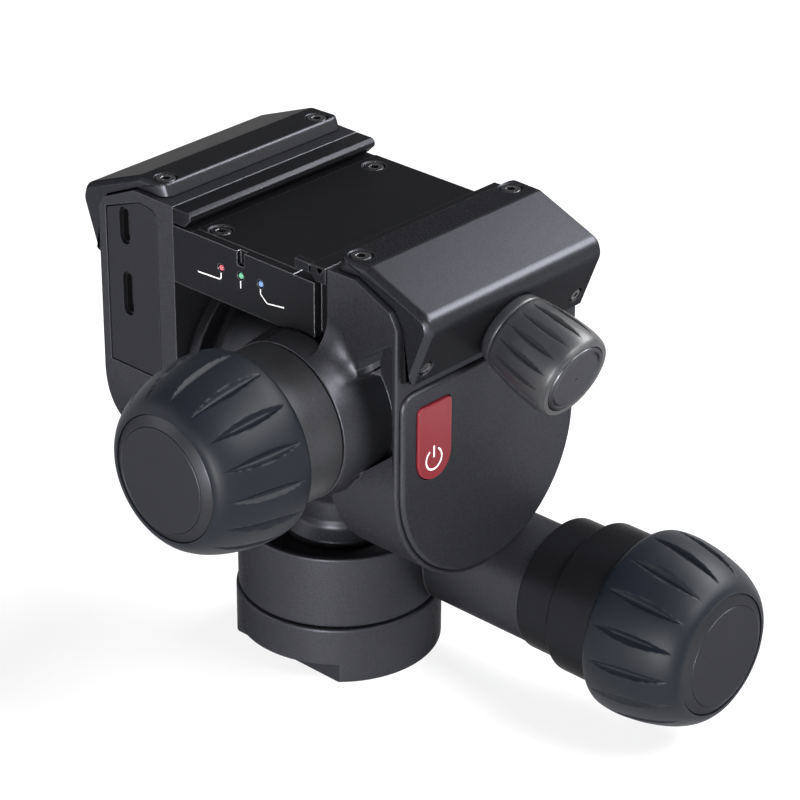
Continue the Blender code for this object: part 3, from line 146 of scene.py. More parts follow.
def floor_finish():
    """White paper: pale where it lights the object, near white to the camera, with the shadow kept."""
    made = bpy.data.materials.new("white_paper")
    made.use_nodes = True
    tree = made.node_tree
    paper = tree.nodes["Principled BSDF"]
    white = (PAPER_TONE, PAPER_TONE, PAPER_TONE, 1)
    set_sockets(tree, paper, {"Base Color": white, "Roughness": 0.9, "Specular IOR Level": 0.1})
    thin = added(tree, "BsdfDiffuse", {"Color": (SHADOW_TONE, SHADOW_TONE, SHADOW_TONE, 1)})
    far = added(tree, "VectorMath", {0: added(tree, "TexCoord", output="Object")}, "Value", operation="LENGTH")
    glow = ranged(tree, far, GLOW_START, GLOW_FULL, NEAR_GLOW, 1.0)
    lit = added(tree, "AddShader", {0: thin, 1: added(tree, "Emission", {"Color": (1, 1, 1, 1), "Strength": glow})})
    path = add_node(tree, "LightPath").outputs
    seen = added(tree, "Math", {0: path["Is Camera Ray"], 1: path["Is Glossy Ray"]}, operation="MAXIMUM")
    clear = added(tree, "Math", {0: seen, 1: path["Is Transmission Ray"]}, operation="MAXIMUM")
    mix = added(tree, "MixShader", {0: clear, 1: paper.outputs[0], 2: lit})
    set_sockets(tree, tree.nodes["Material Output"], {"Surface": mix})
    return made


FLOOR_REACH = 3000 * MM
floor_mesh = bmesh.new()
corners = ((-1, -1), (1, -1), (1, 1), (-1, 1))
floor_mesh.faces.new([floor_mesh.verts.new((x * FLOOR_REACH, y * FLOOR_REACH, 0)) for x, y in corners])
floor = bpy.data.objects.new("floor", bpy.data.meshes.new("floor"))
floor_mesh.to_mesh(floor.data)
floor_mesh.free()
floor.data.materials.append(floor_finish())
scene.collection.objects.link(floor)

# The foot: a turned ring of charcoal-anodised aluminium with a flat milled at its front for a
# spanner. It is bored for the bearing and threaded insert, and stays still on the tripod.
BASE_RADIUS = 24.5
BASE_HEIGHT = 14.4
BASE_FLOOR = 9.0
GAP = 0.3
INSERT_RADIUS = 8.0
BEARING_RADIUS = 20.0
X = Vector((1, 0, 0))
Y = Vector((0, 1, 0))
Z = Vector((0, 0, 1))
SMOOTH_ANGLE = math.radians(32)


def rounded(points, radius, steps=6, open_run=False):
    """A 2-D outline with its corners turned into arcs; radius is one number or one for each point."""
    radii = radius if isinstance(radius, (list, tuple)) else [radius] * len(points)
    made = []
    last = len(points) - 1
    for index, point in enumerate(points):
        corner = Vector(point)
        if radii[index] <= 0 or (open_run and index in (0, last)):
            made.append(tuple(corner))
            continue
        back = Vector(points[index - 1]) - corner
        on = Vector(points[(index + 1) % len(points)]) - corner
        turn = back.angle(on)
        reach = radii[index] / math.tan(turn / 2)
        reach = min(reach, 0.48 * back.length, 0.48 * on.length)
        start = corner + back.normalized() * reach
        end = corner + on.normalized() * reach
        for step in range(steps + 1):
            t = step / steps
            made.append(tuple(start * (1 - t) ** 2 + corner * 2 * t * (1 - t) + end * t ** 2))
    return made


def skinned(rings, closed=False, capped=False):
    """A mesh of faces between neighbouring rings of points in mm, where a ring of one point is a pole."""
    made = bmesh.new()
    rings = [[made.verts.new(point * MM) for point in ring] for ring in rings]
    for low, high in list(zip(rings, rings[1:])) + [(rings[-1], rings[0])] * closed:
        count = max(len(low), len(high))
        if count == 1:
            continue
        for step in range(count):
            after = (step + 1) % count
            if len(low) == 1:
                made.faces.new((low[0], high[after], high[step]))
            elif len(high) == 1:
                made.faces.new((low[step], low[after], high[0]))
            else:
                made.faces.new((low[step], low[after], high[after], high[step]))
    if capped:
        made.faces.new(rings[0])
        made.faces.new(rings[-1])
    return made


def spokes(axis, steps):
    """Unit vectors at even steps round an axis."""
    side = axis.orthogonal().normalized()
    other = axis.cross(side)
    turns = [2 * math.pi * step / steps for step in range(steps)]
    return [side * math.cos(turn) + other * math.sin(turn) for turn in turns]


def turned(profile, axis=Z, origin=(0, 0, 0), steps=96, closed=False):
    """A lathe-turned mesh: a (radius, height) run in mm spun round axis through origin."""
    around = spokes(axis, steps)
    rings = []
    for radius, height in profile:
        centre = Vector(origin) + axis * height
        rings.append([centre + spoke * radius for spoke in around] if radius > 0 else [centre])
    return skinned(rings, closed)


def rod(radius, length, axis, origin, steps=96, edges=None):
    """A cylinder from origin along axis, with rounded corners if edges gives their radii."""
    run = ((0, 0), (radius, 0), (radius, length), (0, length))
    return turned(rounded(run, edges) if edges else run, axis, origin, steps)


def pulled_in(outline, distance):
    """A closed 2-D outline with every point moved inward by a distance."""
    area = sum(a[0] * b[1] - b[0] * a[1] for a, b in zip(outline, outline[1:] + outline[:1]))
    turn = 1 if area > 0 else -1
    moved = []
    for index, point in enumerate(outline):
        here = Vector(point)
        came = (here - Vector(outline[index - 1])).normalized()
        goes = (Vector(outline[(index + 1) % len(outline)]) - here).normalized()
        first = Vector((-came.y, came.x)) * turn
        second = Vector((-goes.y, goes.x)) * turn
        middle = (first + second).normalized()
        stretch = max(middle.dot(first), 0.35)
        moved.append(tuple(here + middle * distance / stretch))
    return moved


def placed(plane, a, b, depth):
    """A point in mm from its two outline coordinates and its depth along the third axis."""
    if plane == "XZ":
        return Vector((a, depth, b))
    return Vector((depth, a, b))


EDGE_STEPS = 3


def prism(outline, plane, low, high, low_edge=0.0, high_edge=0.0):
    """A block of this outline from low to high, with its end edges rolled over by these radii."""
    stations = []
    for end, edge, inward in ((low, low_edge, 1), (high, high_edge, -1)):
        run = [(end, 0.0)]
        if edge > 0:
            run = [(end + inward * edge * (1 - math.cos(math.pi / 2 * step / EDGE_STEPS)),
                    edge * (1 - math.sin(math.pi / 2 * step / EDGE_STEPS))) for step in range(EDGE_STEPS + 1)]
        stations.append(run)
    rings = []
    for depth, inset in stations[0] + stations[1][::-1]:
        run = pulled_in(outline, inset) if inset > 1e-6 else outline
        rings.append([placed(plane, a, b, depth) for a, b in run])
    return skinned(rings, capped=True)


def slab(low, high, edge=0.0):
    """A box between two corners in mm, its upright and level edges rolled over by edge."""
    made = bmesh.new()
    bmesh.ops.create_cube(made, size=1.0)
    size = Vector(high) - Vector(low)
    middle = (Vector(high) + Vector(low)) / 2
    spread = Matrix.Diagonal((*(size * MM), 1))
    bmesh.ops.transform(made, matrix=Matrix.Translation(middle * MM) @ spread, verts=made.verts)
    if edge > 0:
        bmesh.ops.bevel(made, geom=made.edges, offset=edge * MM, segments=EDGE_STEPS, profile=0.5, affect="EDGES")
    return made


def shaded(mesh, finish):
    """Put the finish on a mesh and shade it smooth but for its real edges."""
    mesh.materials.clear()
    mesh.materials.append(finish)
    mesh.shade_smooth()
    mesh.set_sharp_from_angle(angle=SMOOTH_ANGLE)


def part_from(name, made, finish):
    """An object made of this mesh, in this finish."""
    bmesh.ops.remove_doubles(made, verts=made.verts, dist=1e-7)
    bmesh.ops.recalc_face_normals(made, faces=made.faces)
    mesh = bpy.data.meshes.new(name)
    made.to_mesh(mesh)
    made.free()
    piece = bpy.data.objects.new(name, mesh)
    scene.collection.objects.link(piece)
    shaded(mesh, finish)
    return piece


def worked(piece, joins=(), cuts=()):
    """The piece with other meshes joined on, then others cut away, as plain mesh."""
    finish = piece.data.materials[0]
    tools = []
    for operation, meshes in (("UNION", joins), ("DIFFERENCE", cuts)):
        for made in meshes:
            tool = part_from(piece.name + "_tool", made, finish)
            tools.append(tool)
            step = piece.modifiers.new(operation.lower(), "BOOLEAN")
            step.operation = operation
            step.solver = "EXACT"
            step.object = tool
    bpy.context.view_layer.update()
    seen = bpy.context.evaluated_depsgraph_get()
    mesh = bpy.data.meshes.new_from_object(piece.evaluated_get(seen))
    piece.modifiers.clear()
    piece.data = mesh
    mesh.name = piece.name
    for tool in tools:
        bpy.data.objects.remove(tool, do_unlink=True)
    shaded(mesh, finish)
    piece.modifiers.new("even_shading", "WEIGHTED_NORMAL").keep_sharp = True
    return piece


def as_tool(piece):
    """The piece's mesh, ready to be joined to another piece, which takes its place."""
    made = bmesh.new()
    made.from_mesh(piece.data)
    bpy.data.objects.remove(piece, do_unlink=True)
    return made


def fitted(piece, body, slot, *nodes):
    """Hang the piece on its body and hide the CAD solids that it stands for; the slot argument is not used."""
    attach(piece, body)
    if nodes:
        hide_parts(*nodes)


GRAIN_HEIGHT = 0.00008
GLOSS_SPREAD = 0.05
CAST_SCALE = 60.0


def coated(name, colour, roughness, metallic=0.0, speckle=0.25, bump=0.08, grain=2600.0, wear_and_sheen=0.0, edge=0.35,
           specular=0.5, rim=1.0):
    """A coated or bare metal or plastic: fine grain in tone, gloss and height, and edges made lighter for wear and a
    painted edge highlight.
    """
    made = bpy.data.materials.new(name)
    made.use_nodes = True
    tree = made.node_tree
    place = added(tree, "TexCoord", output="Object")
    fine = added(tree, "TexNoise", {"Scale": grain, "Detail": 3.0, "Vector": place}, "Fac")
    broad = added(tree, "TexNoise", {"Scale": CAST_SCALE, "Detail": 2.0, "Vector": place}, "Fac")
    tone = ranged(tree, fine, 0.3, 0.7, 1.0 - speckle, 1.0 + speckle)
    cast = ranged(tree, broad, 0.0, 1.0, 0.95, 1.05)
    both = added(tree, "Math", {0: tone, 1: cast}, operation="MULTIPLY")
    tint = added(tree, "VectorMath", {0: colour, "Scale": both}, "Vector", operation="SCALE")
    gloss = ranged(tree, fine, 0.0, 1.0, roughness - GLOSS_SPREAD, roughness + GLOSS_SPREAD)
    height = add_node(tree, "Bump", {"Strength": bump, "Distance": GRAIN_HEIGHT, "Height": fine})
    if edge > 0:
        roll = added(tree, "Bevel", {"Radius": edge * MM}, samples=4)
        set_sockets(tree, height, {"Normal": roll})
        # Lighter colour is mixed in where the rounded-edge normal turns away: worn edges, and a painted highlight
        # where light would catch them.
        if wear_and_sheen > 0:
            flat = added(tree, "NewGeometry", output="Normal")
            same = added(tree, "VectorMath", {0: roll, 1: flat}, "Value", operation="DOT_PRODUCT")
            rub_and_sheen = ranged(tree, same, 0.995, 0.90, 0.0, wear_and_sheen)
            bared_and_lit_tone = (*[min(6.0 * c + 0.11, 0.6) for c in colour], 1)
            tint = added(tree, "Mix", {0: rub_and_sheen, 6: tint, 7: bared_and_lit_tone}, 2, data_type="RGBA")
    set_sockets(tree, tree.nodes["Principled BSDF"], {
        "Metallic": metallic, "Specular IOR Level": specular, "Specular Tint": (rim, rim, rim, 1),
        "Roughness": gloss, "Base Color": tint, "Normal": height.outputs["Normal"]})
    return made


turned_charcoal = coated("turned_charcoal", (0.0440, 0.0446, 0.0508), 0.46, metallic=0.85, speckle=0.16, bump=0.06,
                         wear_and_sheen=0.14, specular=0.2, rim=0.3)
foot = part_from("foot_ring", turned(rounded((
    (INSERT_RADIUS + GAP, 0),
    (BASE_RADIUS, 0),
    (BASE_RADIUS, BASE_HEIGHT),
    (BEARING_RADIUS + GAP, BASE_HEIGHT),
    (BEARING_RADIUS + GAP, BASE_FLOOR),
    (INSERT_RADIUS + GAP, BASE_FLOOR),
), (0, 0.6, 0.8, 0.3, 0, 0)), closed=True), turned_charcoal)
NOTCH_Y = -17.6
NOTCH_HEIGHT = 5.0
worked(foot, cuts=[slab((-40, -40, -1), (40, NOTCH_Y, NOTCH_HEIGHT))])
fitted(foot, "base", "turned", "base_ring")

# Bought and turned steel pieces inside the foot: the threaded insert, the bearing, the spindle,
# and the bronze worm wheel that stays still while the housing turns round it.
bare_steel = coated("bare_steel", (0.42, 0.42, 0.43), 0.30, metallic=1.0, speckle=0.06, bump=0.04, edge=0)
bronze = coated("bronze", (0.60, 0.42, 0.18), 0.34, metallic=1.0, speckle=0.08, bump=0.04, edge=0)


def refinish(finish, *nodes):
    """Give these CAD solids a finish."""
    for name in nodes:
        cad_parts[name].data.materials.clear()
        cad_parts[name].data.materials.append(finish)


refinish(bare_steel, "thread_insert", "pan_bearing", "pan_spindle", "pan_worm", "pan_motor", "tilt_shaft",
         "tilt_bearing_left", "tilt_bearing_right", "tilt_motor", "tilt_worm", "clamp_screw")
refinish(bronze, "pan_worm_wheel", "tilt_worm_wheel", "tilt_pinion", "clamp_nut")

# The turning housing: a shot-blasted charcoal casting, with a dished top round the neck and a
# side arm that sweeps up to clear the foot and carries the motor that turns the head.
PAN_SEAM = BASE_HEIGHT + GAP
HOUSING_RADIUS = 24.0
HOUSING_TOP = 33.0
RECESS_RADIUS = 22.5
RECESS_FLOOR = 29.2
SPIGOT_RADIUS = 16.0
MOUTH_RADIUS = 15.0
HOUSING_INSIDE = 20.8
INSIDE_LOW = PAN_SEAM + 2.8
INSIDE_HIGH = RECESS_FLOOR - 1.2
ARM_Y = 17.3
ARM_Z = 25.2
ARM_RADIUS = 14.0
ARM_START = 12.0
ARM_END = 53.0
MOTOR_BORE = 11.3
MOTOR_START = 27.3
WORM_BORE = 2.7
TILT_Z = 66.0
charcoal = coated("charcoal_casting", (0.0440, 0.0446, 0.0510), 0.43, metallic=0.8, speckle=0.20, bump=0.10,
                  wear_and_sheen=0.14, specular=0.2, rim=0.3)
housing = part_from("turning_housing", turned(rounded((
    (0, BASE_FLOOR + 0.6),
    (SPIGOT_RADIUS, BASE_FLOOR + 0.6),
    (SPIGOT_RADIUS, PAN_SEAM),
    (HOUSING_RADIUS, PAN_SEAM),
    (HOUSING_RADIUS, HOUSING_TOP),
    (RECESS_RADIUS, HOUSING_TOP),
    (RECESS_RADIUS, RECESS_FLOOR),
    (0, RECESS_FLOOR),
), (0, 0, 0, 0.8, 0.6, 0.4, 0.8, 0)), steps=128), turned_charcoal)
arm = part_from("arm", rod(ARM_RADIUS, ARM_END - ARM_START, X, (ARM_START, ARM_Y, ARM_Z), edges=(0, 0, 0.8, 0)),
                charcoal)
worked(arm, cuts=[
    turned(rounded(((0, -1), (70, -1), (70, 9.2), (38.0, 11.0), (34.5, PAN_SEAM - 3.1), (31.0, PAN_SEAM - 1.9),
                    (28.0, PAN_SEAM - 0.7), (BASE_RADIUS + GAP, PAN_SEAM), (0, PAN_SEAM)),
                   (0, 0, 0, 3, 6, 6, 6, 0, 0), 4), steps=128),
    turned(rounded(((0, RECESS_FLOOR), (RECESS_RADIUS, RECESS_FLOOR), (RECESS_RADIUS, HOUSING_TOP),
                    (24.5, HOUSING_TOP + 1.0), (27.0, HOUSING_TOP + 3.3), (29.5, HOUSING_TOP + 5.2),
                    (32.0, ARM_Z + ARM_RADIUS + 0.4), (32.0, TILT_Z), (0, TILT_Z)),
                   (0, 0, 0, 2, 5, 5, 0, 0, 0), 4), steps=128),
])
worked(housing, joins=[as_tool(arm)], cuts=[
    turned(((0, BASE_FLOOR - 1), (MOUTH_RADIUS, BASE_FLOOR - 1), (MOUTH_RADIUS, INSIDE_LOW),
            (HOUSING_INSIDE, INSIDE_LOW), (HOUSING_INSIDE, INSIDE_HIGH), (0, INSIDE_HIGH))),
    rod(MOTOR_BORE, ARM_END + 1 - MOTOR_START, X, (MOTOR_START, ARM_Y, ARM_Z)),
    rod(WORM_BORE, 24, X, (5, ARM_Y, ARM_Z), 32),
])
fitted(housing, "pan_stage", "casting", "pan_housing")

# Two black turned collars step out from the arm to its knob: the thin one is pressed on the
# arm's end, and the wide one is the knob's friction lock.
STEM_BORE = 4.3
COLLAR_BORE = 4.9
deep_anodised = coated("deep_anodised", (0.0170, 0.0173, 0.0200), 0.36, metallic=0.75, speckle=0.10, bump=0.03,
                       wear_and_sheen=0.2, specular=0.2, rim=0.35)
LOCK_RADIUS = 18.2
for label, node, bore, radius, width, edges, origin in (
        ("arm_collar_ring", "arm_collar", COLLAR_BORE, 16.1, 9.8, (0, 0.6, 0.6, 0), (53.3, 18.2, 26.5)),
        ("friction_lock", "pan_lock_barrel", STEM_BORE, LOCK_RADIUS, 12.7, (0, 0.7, 0.9, 0), (63.4, 18.5, 26.8))):
    run = rounded(((bore, 0), (radius, 0), (radius, width), (bore, width)), edges)
    fitted(part_from(label, turned(run, X, origin, closed=True), deep_anodised), "pan_stage", "turned", node)

# The big hand knobs: moulded navy rubber over a black core, barrel-shaped, with sixteen
# lens-shaped finger scoops; a dark satin metal ring and disc close the end.
KNOB_BODY = ((20.6, 0), (21.4, 0.8), (21.8, 4.5), (21.5, 8.5), (20.7, 13.0), (19.3, 17.5), (17.6, 20.8),
             (16.2, 22.4), (15.2, 23.0))
KNOB_LENGTH = 23.0
KNOB_BORE = 14.5
KNOB_STEM = 4.0
KNOB_RING = 14.4
KNOB_RING_BORE = 12.1
navy_rubber = coated("navy_rubber", (0.0036, 0.0051, 0.0088), 0.50, speckle=0.10, bump=0.10, grain=1800.0,
                     edge=0, specular=0.2)
satin_rim = coated("satin_rim", (0.036, 0.0365, 0.0410), 0.36, metallic=0.85, speckle=0.08, bump=0.03, wear_and_sheen=0.2,
                     edge=0.2, specular=0.2, rim=0.4)
satin_disc = coated("satin_disc", (0.0340, 0.0345, 0.0385), 0.40, metallic=0.8, speckle=0.12, bump=0.04, edge=0.2,
                    specular=0.2, rim=0.4)
black_plastic = coated("black_plastic", (0.014, 0.014, 0.015), 0.42, speckle=0.10, bump=0.05, edge=0)


def run_radius(body, height):
    """The radius at a height on a smooth curve through (radius, height) points."""
    for index in range(len(body) - 1):
        (r1, h1), (r2, h2) = body[index], body[index + 1]
        if height <= h2 or index == len(body) - 2:
            r0, h0 = body[max(index - 1, 0)]
            r3, h3 = body[min(index + 2, len(body) - 1)]
            t = (height - h1) / (h2 - h1)
            m1 = (r2 - r0) / (h2 - h0) * (h2 - h1)
            m2 = (r3 - r1) / (h3 - h1) * (h2 - h1)
            return ((2 * t ** 3 - 3 * t ** 2 + 1) * r1 + (t ** 3 - 2 * t ** 2 + t) * m1
                    + (3 * t ** 2 - 2 * t ** 3) * r2 + (t ** 3 - t ** 2) * m2)
    return body[-1][0]


FLUTES = 16
FLUTE_POINT = 0.01


def grip_mesh(body, depth, start, end, hollow, axis, origin, widest, rows=46, fine=28):
    """A moulded grip: body's outline spun, with scoops that open and close like lenses, and its bore."""
    length = body[-1][1]
    pitch = 2 * math.pi / FLUTES
    around = spokes(axis, FLUTES * fine)
    rings = []
    for row in range(rows + 1):
        height = length * row / rows
        swell = math.sin(math.pi * min(max((height - start) / (end - start), 0.0), 1.0))
        half = pitch * (FLUTE_POINT + widest * swell)
        radius = run_radius(body, height)
        centre = Vector(origin) + axis * height
        ring = []
        for step, spoke in enumerate(around):
            offset = (step % fine) / fine
            offset = (offset if offset < 0.5 else offset - 1) * pitch
            reach = radius - depth * swell ** 0.8 * max(0.0, 1 - (offset / half) ** 2)
            ring.append(centre + spoke * reach)
        rings.append(ring)
    rings += [[Vector(origin) + axis * height + spoke * bore for spoke in around] for bore, height in hollow]
    return skinned(rings, closed=True)


def hand_knob(prefix, label, axis, origin, stem, body):
    """One big knob's four pieces, its rear face at origin, all on the same body."""
    start = KNOB_LENGTH - 1.6
    seat = start + GAP
    disc = KNOB_RING_BORE - 0.05
    face = KNOB_LENGTH + 1.15
    grip = grip_mesh(KNOB_BODY, 1.15, 2.4, 21.2, ((KNOB_BORE, KNOB_LENGTH), (KNOB_BORE, 0)), axis, origin, 0.145)
    core = turned(((0, -stem), (KNOB_STEM, -stem), (KNOB_STEM, 0.2), (KNOB_BORE - GAP, 0.2), (KNOB_BORE - GAP, start),
                   (0, start)), axis, origin)
    ring = turned(rounded(((KNOB_RING_BORE, seat), (KNOB_RING, seat), (KNOB_RING, KNOB_LENGTH - 0.2),
                           (KNOB_RING_BORE, KNOB_LENGTH + 1.0)), (0, 0, 0.35, 0.1)), axis, origin, closed=True)
    lid = turned(rounded(((0, seat), (disc, seat), (disc, face), (0, face)), (0, 0, 0.45, 0)), axis, origin)
    for made, name, node, finish, slot in (
            (grip, "_rubber", "_grip", navy_rubber, "rubber"), (core, "_core", "_core", black_plastic, "plastic"),
            (ring, "_end_ring", "_ring", satin_rim, "satin"), (lid, "_end_disc", "_disc", satin_disc, "satin")):
        fitted(part_from(label + name, made, finish), body, slot, prefix + node)


hand_knob("pan_knob", "side_knob", X, (76.4, 18.5, 26.8), 21.0, "pan_knob")

# The neck stands in the housing's dish and swells into the round head, a charcoal casting that
# the tilt shaft runs through; a thin flange closes its left end.
NECK_RADIUS = 10.7
HUB_RADIUS = 24.5
HUB_LEFT = -21.6
HUB_RIGHT = 24.9
FLANGE_RADIUS = 29.0
FLANGE_WIDTH = 3.0
SHAFT_BORE = 6.3
foot_low = RECESS_FLOOR + GAP
head = part_from("neck_and_head", turned(rounded((
    (0, foot_low),
    (13.3, foot_low),
    (13.3, foot_low + 1.8),
    (NECK_RADIUS + 0.3, foot_low + 4.2),
    (NECK_RADIUS, foot_low + 6.0),
    (NECK_RADIUS, TILT_Z - HUB_RADIUS - 1.0),
    (NECK_RADIUS + 1.2, TILT_Z - HUB_RADIUS + 2.0),
    (NECK_RADIUS + 4.5, TILT_Z - HUB_RADIUS + 5.0),
    (NECK_RADIUS + 4.5, TILT_Z),
    (0, TILT_Z),
), (0, 0.4, 0.6, 2.0, 2.0, 3.0, 3.0, 2.0, 0, 0))), charcoal)
worked(head, joins=[turned(rounded((
    (0, 0),
    (FLANGE_RADIUS, 0),
    (FLANGE_RADIUS, FLANGE_WIDTH),
    (HUB_RADIUS + 0.2, FLANGE_WIDTH + 0.6),
    (HUB_RADIUS, FLANGE_WIDTH + 4.0),
    (HUB_RADIUS, HUB_RIGHT - HUB_LEFT),
    (0, HUB_RIGHT - HUB_LEFT),
), (0, 0.7, 0.5, 1.6, 1.0, 0.6, 0)), X, (HUB_LEFT, 0, TILT_Z), steps=128)],
       cuts=[rod(SHAFT_BORE, 50, X, (HUB_LEFT - 1, 0, TILT_Z))])
fitted(head, "pan_stage", "casting", "neck_head")

# The twin cases: charcoal castings shaped like bowls with upright walls and a stepped roof, one
# each side of the head. The right one also grows the barrel that carries the tilt drive.
CASE_RADIUS = 29.8
CASE_TOP = 113.6
LEFT_INNER = -22.3
LEFT_OUTER = -47.2
RIGHT_INNER = 25.3
RIGHT_OUTER = 45.5
CASE_WALL = 2.3
COVER_SEAT = 28.9
COVER_TOP = 89.3
COVER_PROUD = 0.9
COVER_CORNER = 4.0
COVER_EDGE = 0.9
COVER_REBATE = 0.6
BEARING_HOLE = 10.3
BARREL_X = 18.5
BARREL_Z = 77.2
BARREL_ROOT = 19.5
BARREL_SEAM = -37.0
PORT_FACE = -CASE_RADIUS
WORM_X = 30.6


BOWL_STEPS = 64


def bowl(radius, front, rear, top):
    """A case's side outline in (y, z): a bowl about the tilt axis with upright walls above it."""
    first = math.asin(max(front / radius, -1.0))
    last = math.asin(min(rear / radius, 1.0))
    turns = [first + (last - first) * step / BOWL_STEPS for step in range(BOWL_STEPS + 1)]
    run = [(radius * math.sin(turn), TILT_Z - radius * math.cos(turn)) for turn in turns]
    return run + [(rear, top), (front, top)]


def roof(inner, outer):
    """A case's roof in (x, z), from its inner edge to its outer one."""
    side = 1 if outer > inner else -1
    return [(inner, CASE_TOP - 0.2), (outer - side * 12.4, CASE_TOP), (outer - side * 2.2, CASE_TOP - 4.6),
            (outer, CASE_TOP - 8.1)]


def cover_outline(radius, top, corner):
    """The cover's D-shaped outline in (y, z), its two top corners rounded."""
    run = bowl(radius, -radius, radius, top)
    return run[:-2] + rounded(run[-3:] + run[:1], (0, corner, corner, 0), open_run=True)[1:-1]


def case_shell(name, inner, outer, cavity_front, cavity_top, cavity_inset):
    """One case's shell, with its roof stepped, its outer side open and rebated for the cover."""
    side = 1 if outer > inner else -1
    edges = (0.0, 0.6) if side > 0 else (0.6, 0.0)
    outline = bowl(CASE_RADIUS, -CASE_RADIUS, CASE_RADIUS, CASE_TOP)
    shell = part_from(name, prism(outline, "YZ", *sorted((inner, outer)), *edges), charcoal)
    run = roof(inner, outer)
    beyond = outer + side
    low, high = run[-1][1] - 7, CASE_TOP + 9
    above = rounded([(inner - side, run[0][1]), *run[1:], (outer, low), (beyond, low), (beyond, high),
                     (inner - side, high)], (0, 1.2, 1.5, 5.0, 0, 0, 0, 0))
    rebate = outer - side * COVER_REBATE
    inside = CASE_RADIUS - cavity_inset
    cover_room = cover_outline(COVER_SEAT, COVER_TOP + GAP, COVER_CORNER + GAP)
    cavity = bowl(inside, cavity_front, inside, cavity_top)
    mouth = bowl(inside, cavity_front, inside, COVER_TOP - 1.4)
    return worked(shell, cuts=[
        prism(above, "XZ", -40, 40),
        prism(cover_room, "YZ", *sorted((rebate, outer + side))),
        prism(cavity, "YZ", *sorted((inner + side * (CASE_WALL + 0.2), outer - side * 1.4))),
        prism(mouth, "YZ", *sorted((outer - side * 1.5, rebate + side))),
        rod(BEARING_HOLE, CASE_WALL + 2, X, (min(inner, inner + side * CASE_WALL) - 1, 0, TILT_Z)),
    ])


def case_cover(name, outer):
    """The flat D-shaped cover let into a case's outer side, its rim softly rolled over."""
    side = 1 if outer > 0 else -1
    radius = COVER_SEAT - GAP
    low, high = sorted((outer - side * (COVER_REBATE - GAP), outer + side * COVER_PROUD))
    edges = (0.0, COVER_EDGE) if side > 0 else (COVER_EDGE, 0.0)
    return part_from(name, prism(cover_outline(radius, COVER_TOP, COVER_CORNER), "YZ", low, high, *edges), charcoal)


def front_of_case(z):
    """How far forward a case's front face stands at a height."""
    if z > TILT_Z:
        return -CASE_RADIUS
    return -math.sqrt(max(CASE_RADIUS ** 2 - (z - TILT_Z) ** 2, 0.0))


BARREL_REAR = -22.0
BLEND_REACH = ((-90, 0.0), (34, 0.0), (50, 3.6), (64, 6.5), (90, 6.5))


def blend_reach(degrees):
    """How far the barrel's flare spreads at an angle round it."""
    for (a1, r1), (a2, r2) in zip(BLEND_REACH, BLEND_REACH[1:]):
        if degrees <= a2:
            t = (degrees - a1) / (a2 - a1)
            return r1 + (r2 - r1) * t * t * (3 - 2 * t)
    return BLEND_REACH[-1][1]


FLARED_STEPS = 120
PLAIN_STEPS = 100
FLARE_RINGS = 10


def barrel_root_mesh(front):
    """The barrel's root, flared softly into the case's front where the case stands behind it."""
    inner = RIGHT_INNER - BARREL_X
    edge = math.acos(inner / BARREL_ROOT)
    turns = [(-edge + 2 * edge * turn / FLARED_STEPS, True) for turn in range(FLARED_STEPS + 1)]
    turns += [(edge + (2 * math.pi - 2 * edge) * turn / PLAIN_STEPS, False) for turn in range(PLAIN_STEPS + 1)]
    rings = []
    for turn, flare in turns:
        reach = blend_reach(math.degrees(turn)) if flare else 0.0
        join = min(reach / 1.2, 1.0)
        column = [(0.0, turn, front), (BARREL_ROOT - 1.15, turn, front), (BARREL_ROOT - 1.03, turn, front + 0.12),
                  (BARREL_ROOT - 1.0, turn, front + 0.7)]
        for step in range(FLARE_RINGS + 1):
            bend = math.pi / 2 * step / FLARE_RINGS
            radius = BARREL_ROOT + reach * (1 - math.cos(bend))
            angle = turn * math.acos(inner / radius) / edge if flare else turn
            wall = BARREL_REAR + (front_of_case(BARREL_Z + radius * math.sin(angle)) - BARREL_REAR) * join
            start = max(front + 1.4, wall - 8.0 * join - 20.0 * (1 - join))
            y = start + (wall - start) * math.sin(bend)
            column.append((radius - 0.95 * max(1 - (y - front) / 7.0, 0.0), angle, y))
        column += [(BARREL_ROOT + reach, column[-1][1], BARREL_REAR), (2.0, turn, BARREL_REAR + 0.2),
                   (0.0, turn, BARREL_REAR + 0.2)]
        rings.append([Vector((BARREL_X + radius * math.cos(angle), y, BARREL_Z + radius * math.sin(angle)))
                      for radius, angle, y in column])
    made = skinned(rings, closed=True)
    bmesh.ops.remove_doubles(made, verts=made.verts, dist=2e-6)
    bmesh.ops.delete(made, geom=[line for line in made.edges if not line.link_faces], context="EDGES")
    bmesh.ops.recalc_face_normals(made, faces=made.faces)
    return made


right_case = case_shell("right_case_shell", RIGHT_INNER, RIGHT_OUTER, -20.4, 95.5, 5.3)
root = part_from("root", barrel_root_mesh(BARREL_SEAM + GAP), charcoal)
inside_face = RIGHT_INNER - 0.15
worked(root, cuts=[
    rod(CASE_RADIUS, 28, X, (inside_face - 28, 0, TILT_Z), 128),
    slab((-10, -30.4, 95.1), (inside_face, 0, 120)),
])
POCKET = rounded(((33.5, 66.5), (44.2, 75.3), (44.2, 102.1), (36.2, 96.5), (35.0, 95.0), (34.2, 92.6), (30.0, 88.0),
                  (30.0, 80.0)), (0.6, 1.0, 1.0, 1.4, 1.2, 1.5, 1.5, 1.0), 4)
POCKET_FLOOR = -22.6
TAIL_HALF = 7.0
SCREW_BORE = 3.2
CLAMP_TILT = math.radians(18.0)
CLAMP_AXIS = Vector((math.cos(CLAMP_TILT), 0.0, -math.sin(CLAMP_TILT)))
CLAMP_END = Vector((69.8, 0.0, 91.9))


def on_clamp_axis(x):
    """The point on the clamp screw's axis with this x."""
    return CLAMP_END + CLAMP_AXIS * ((x - CLAMP_END.x) / CLAMP_AXIS.x)


def barrel_bore(radius, front, length, x=BARREL_X):
    """A round hole along the barrel's direction."""
    return rod(radius, length, Y, (x, front, BARREL_Z), 64)


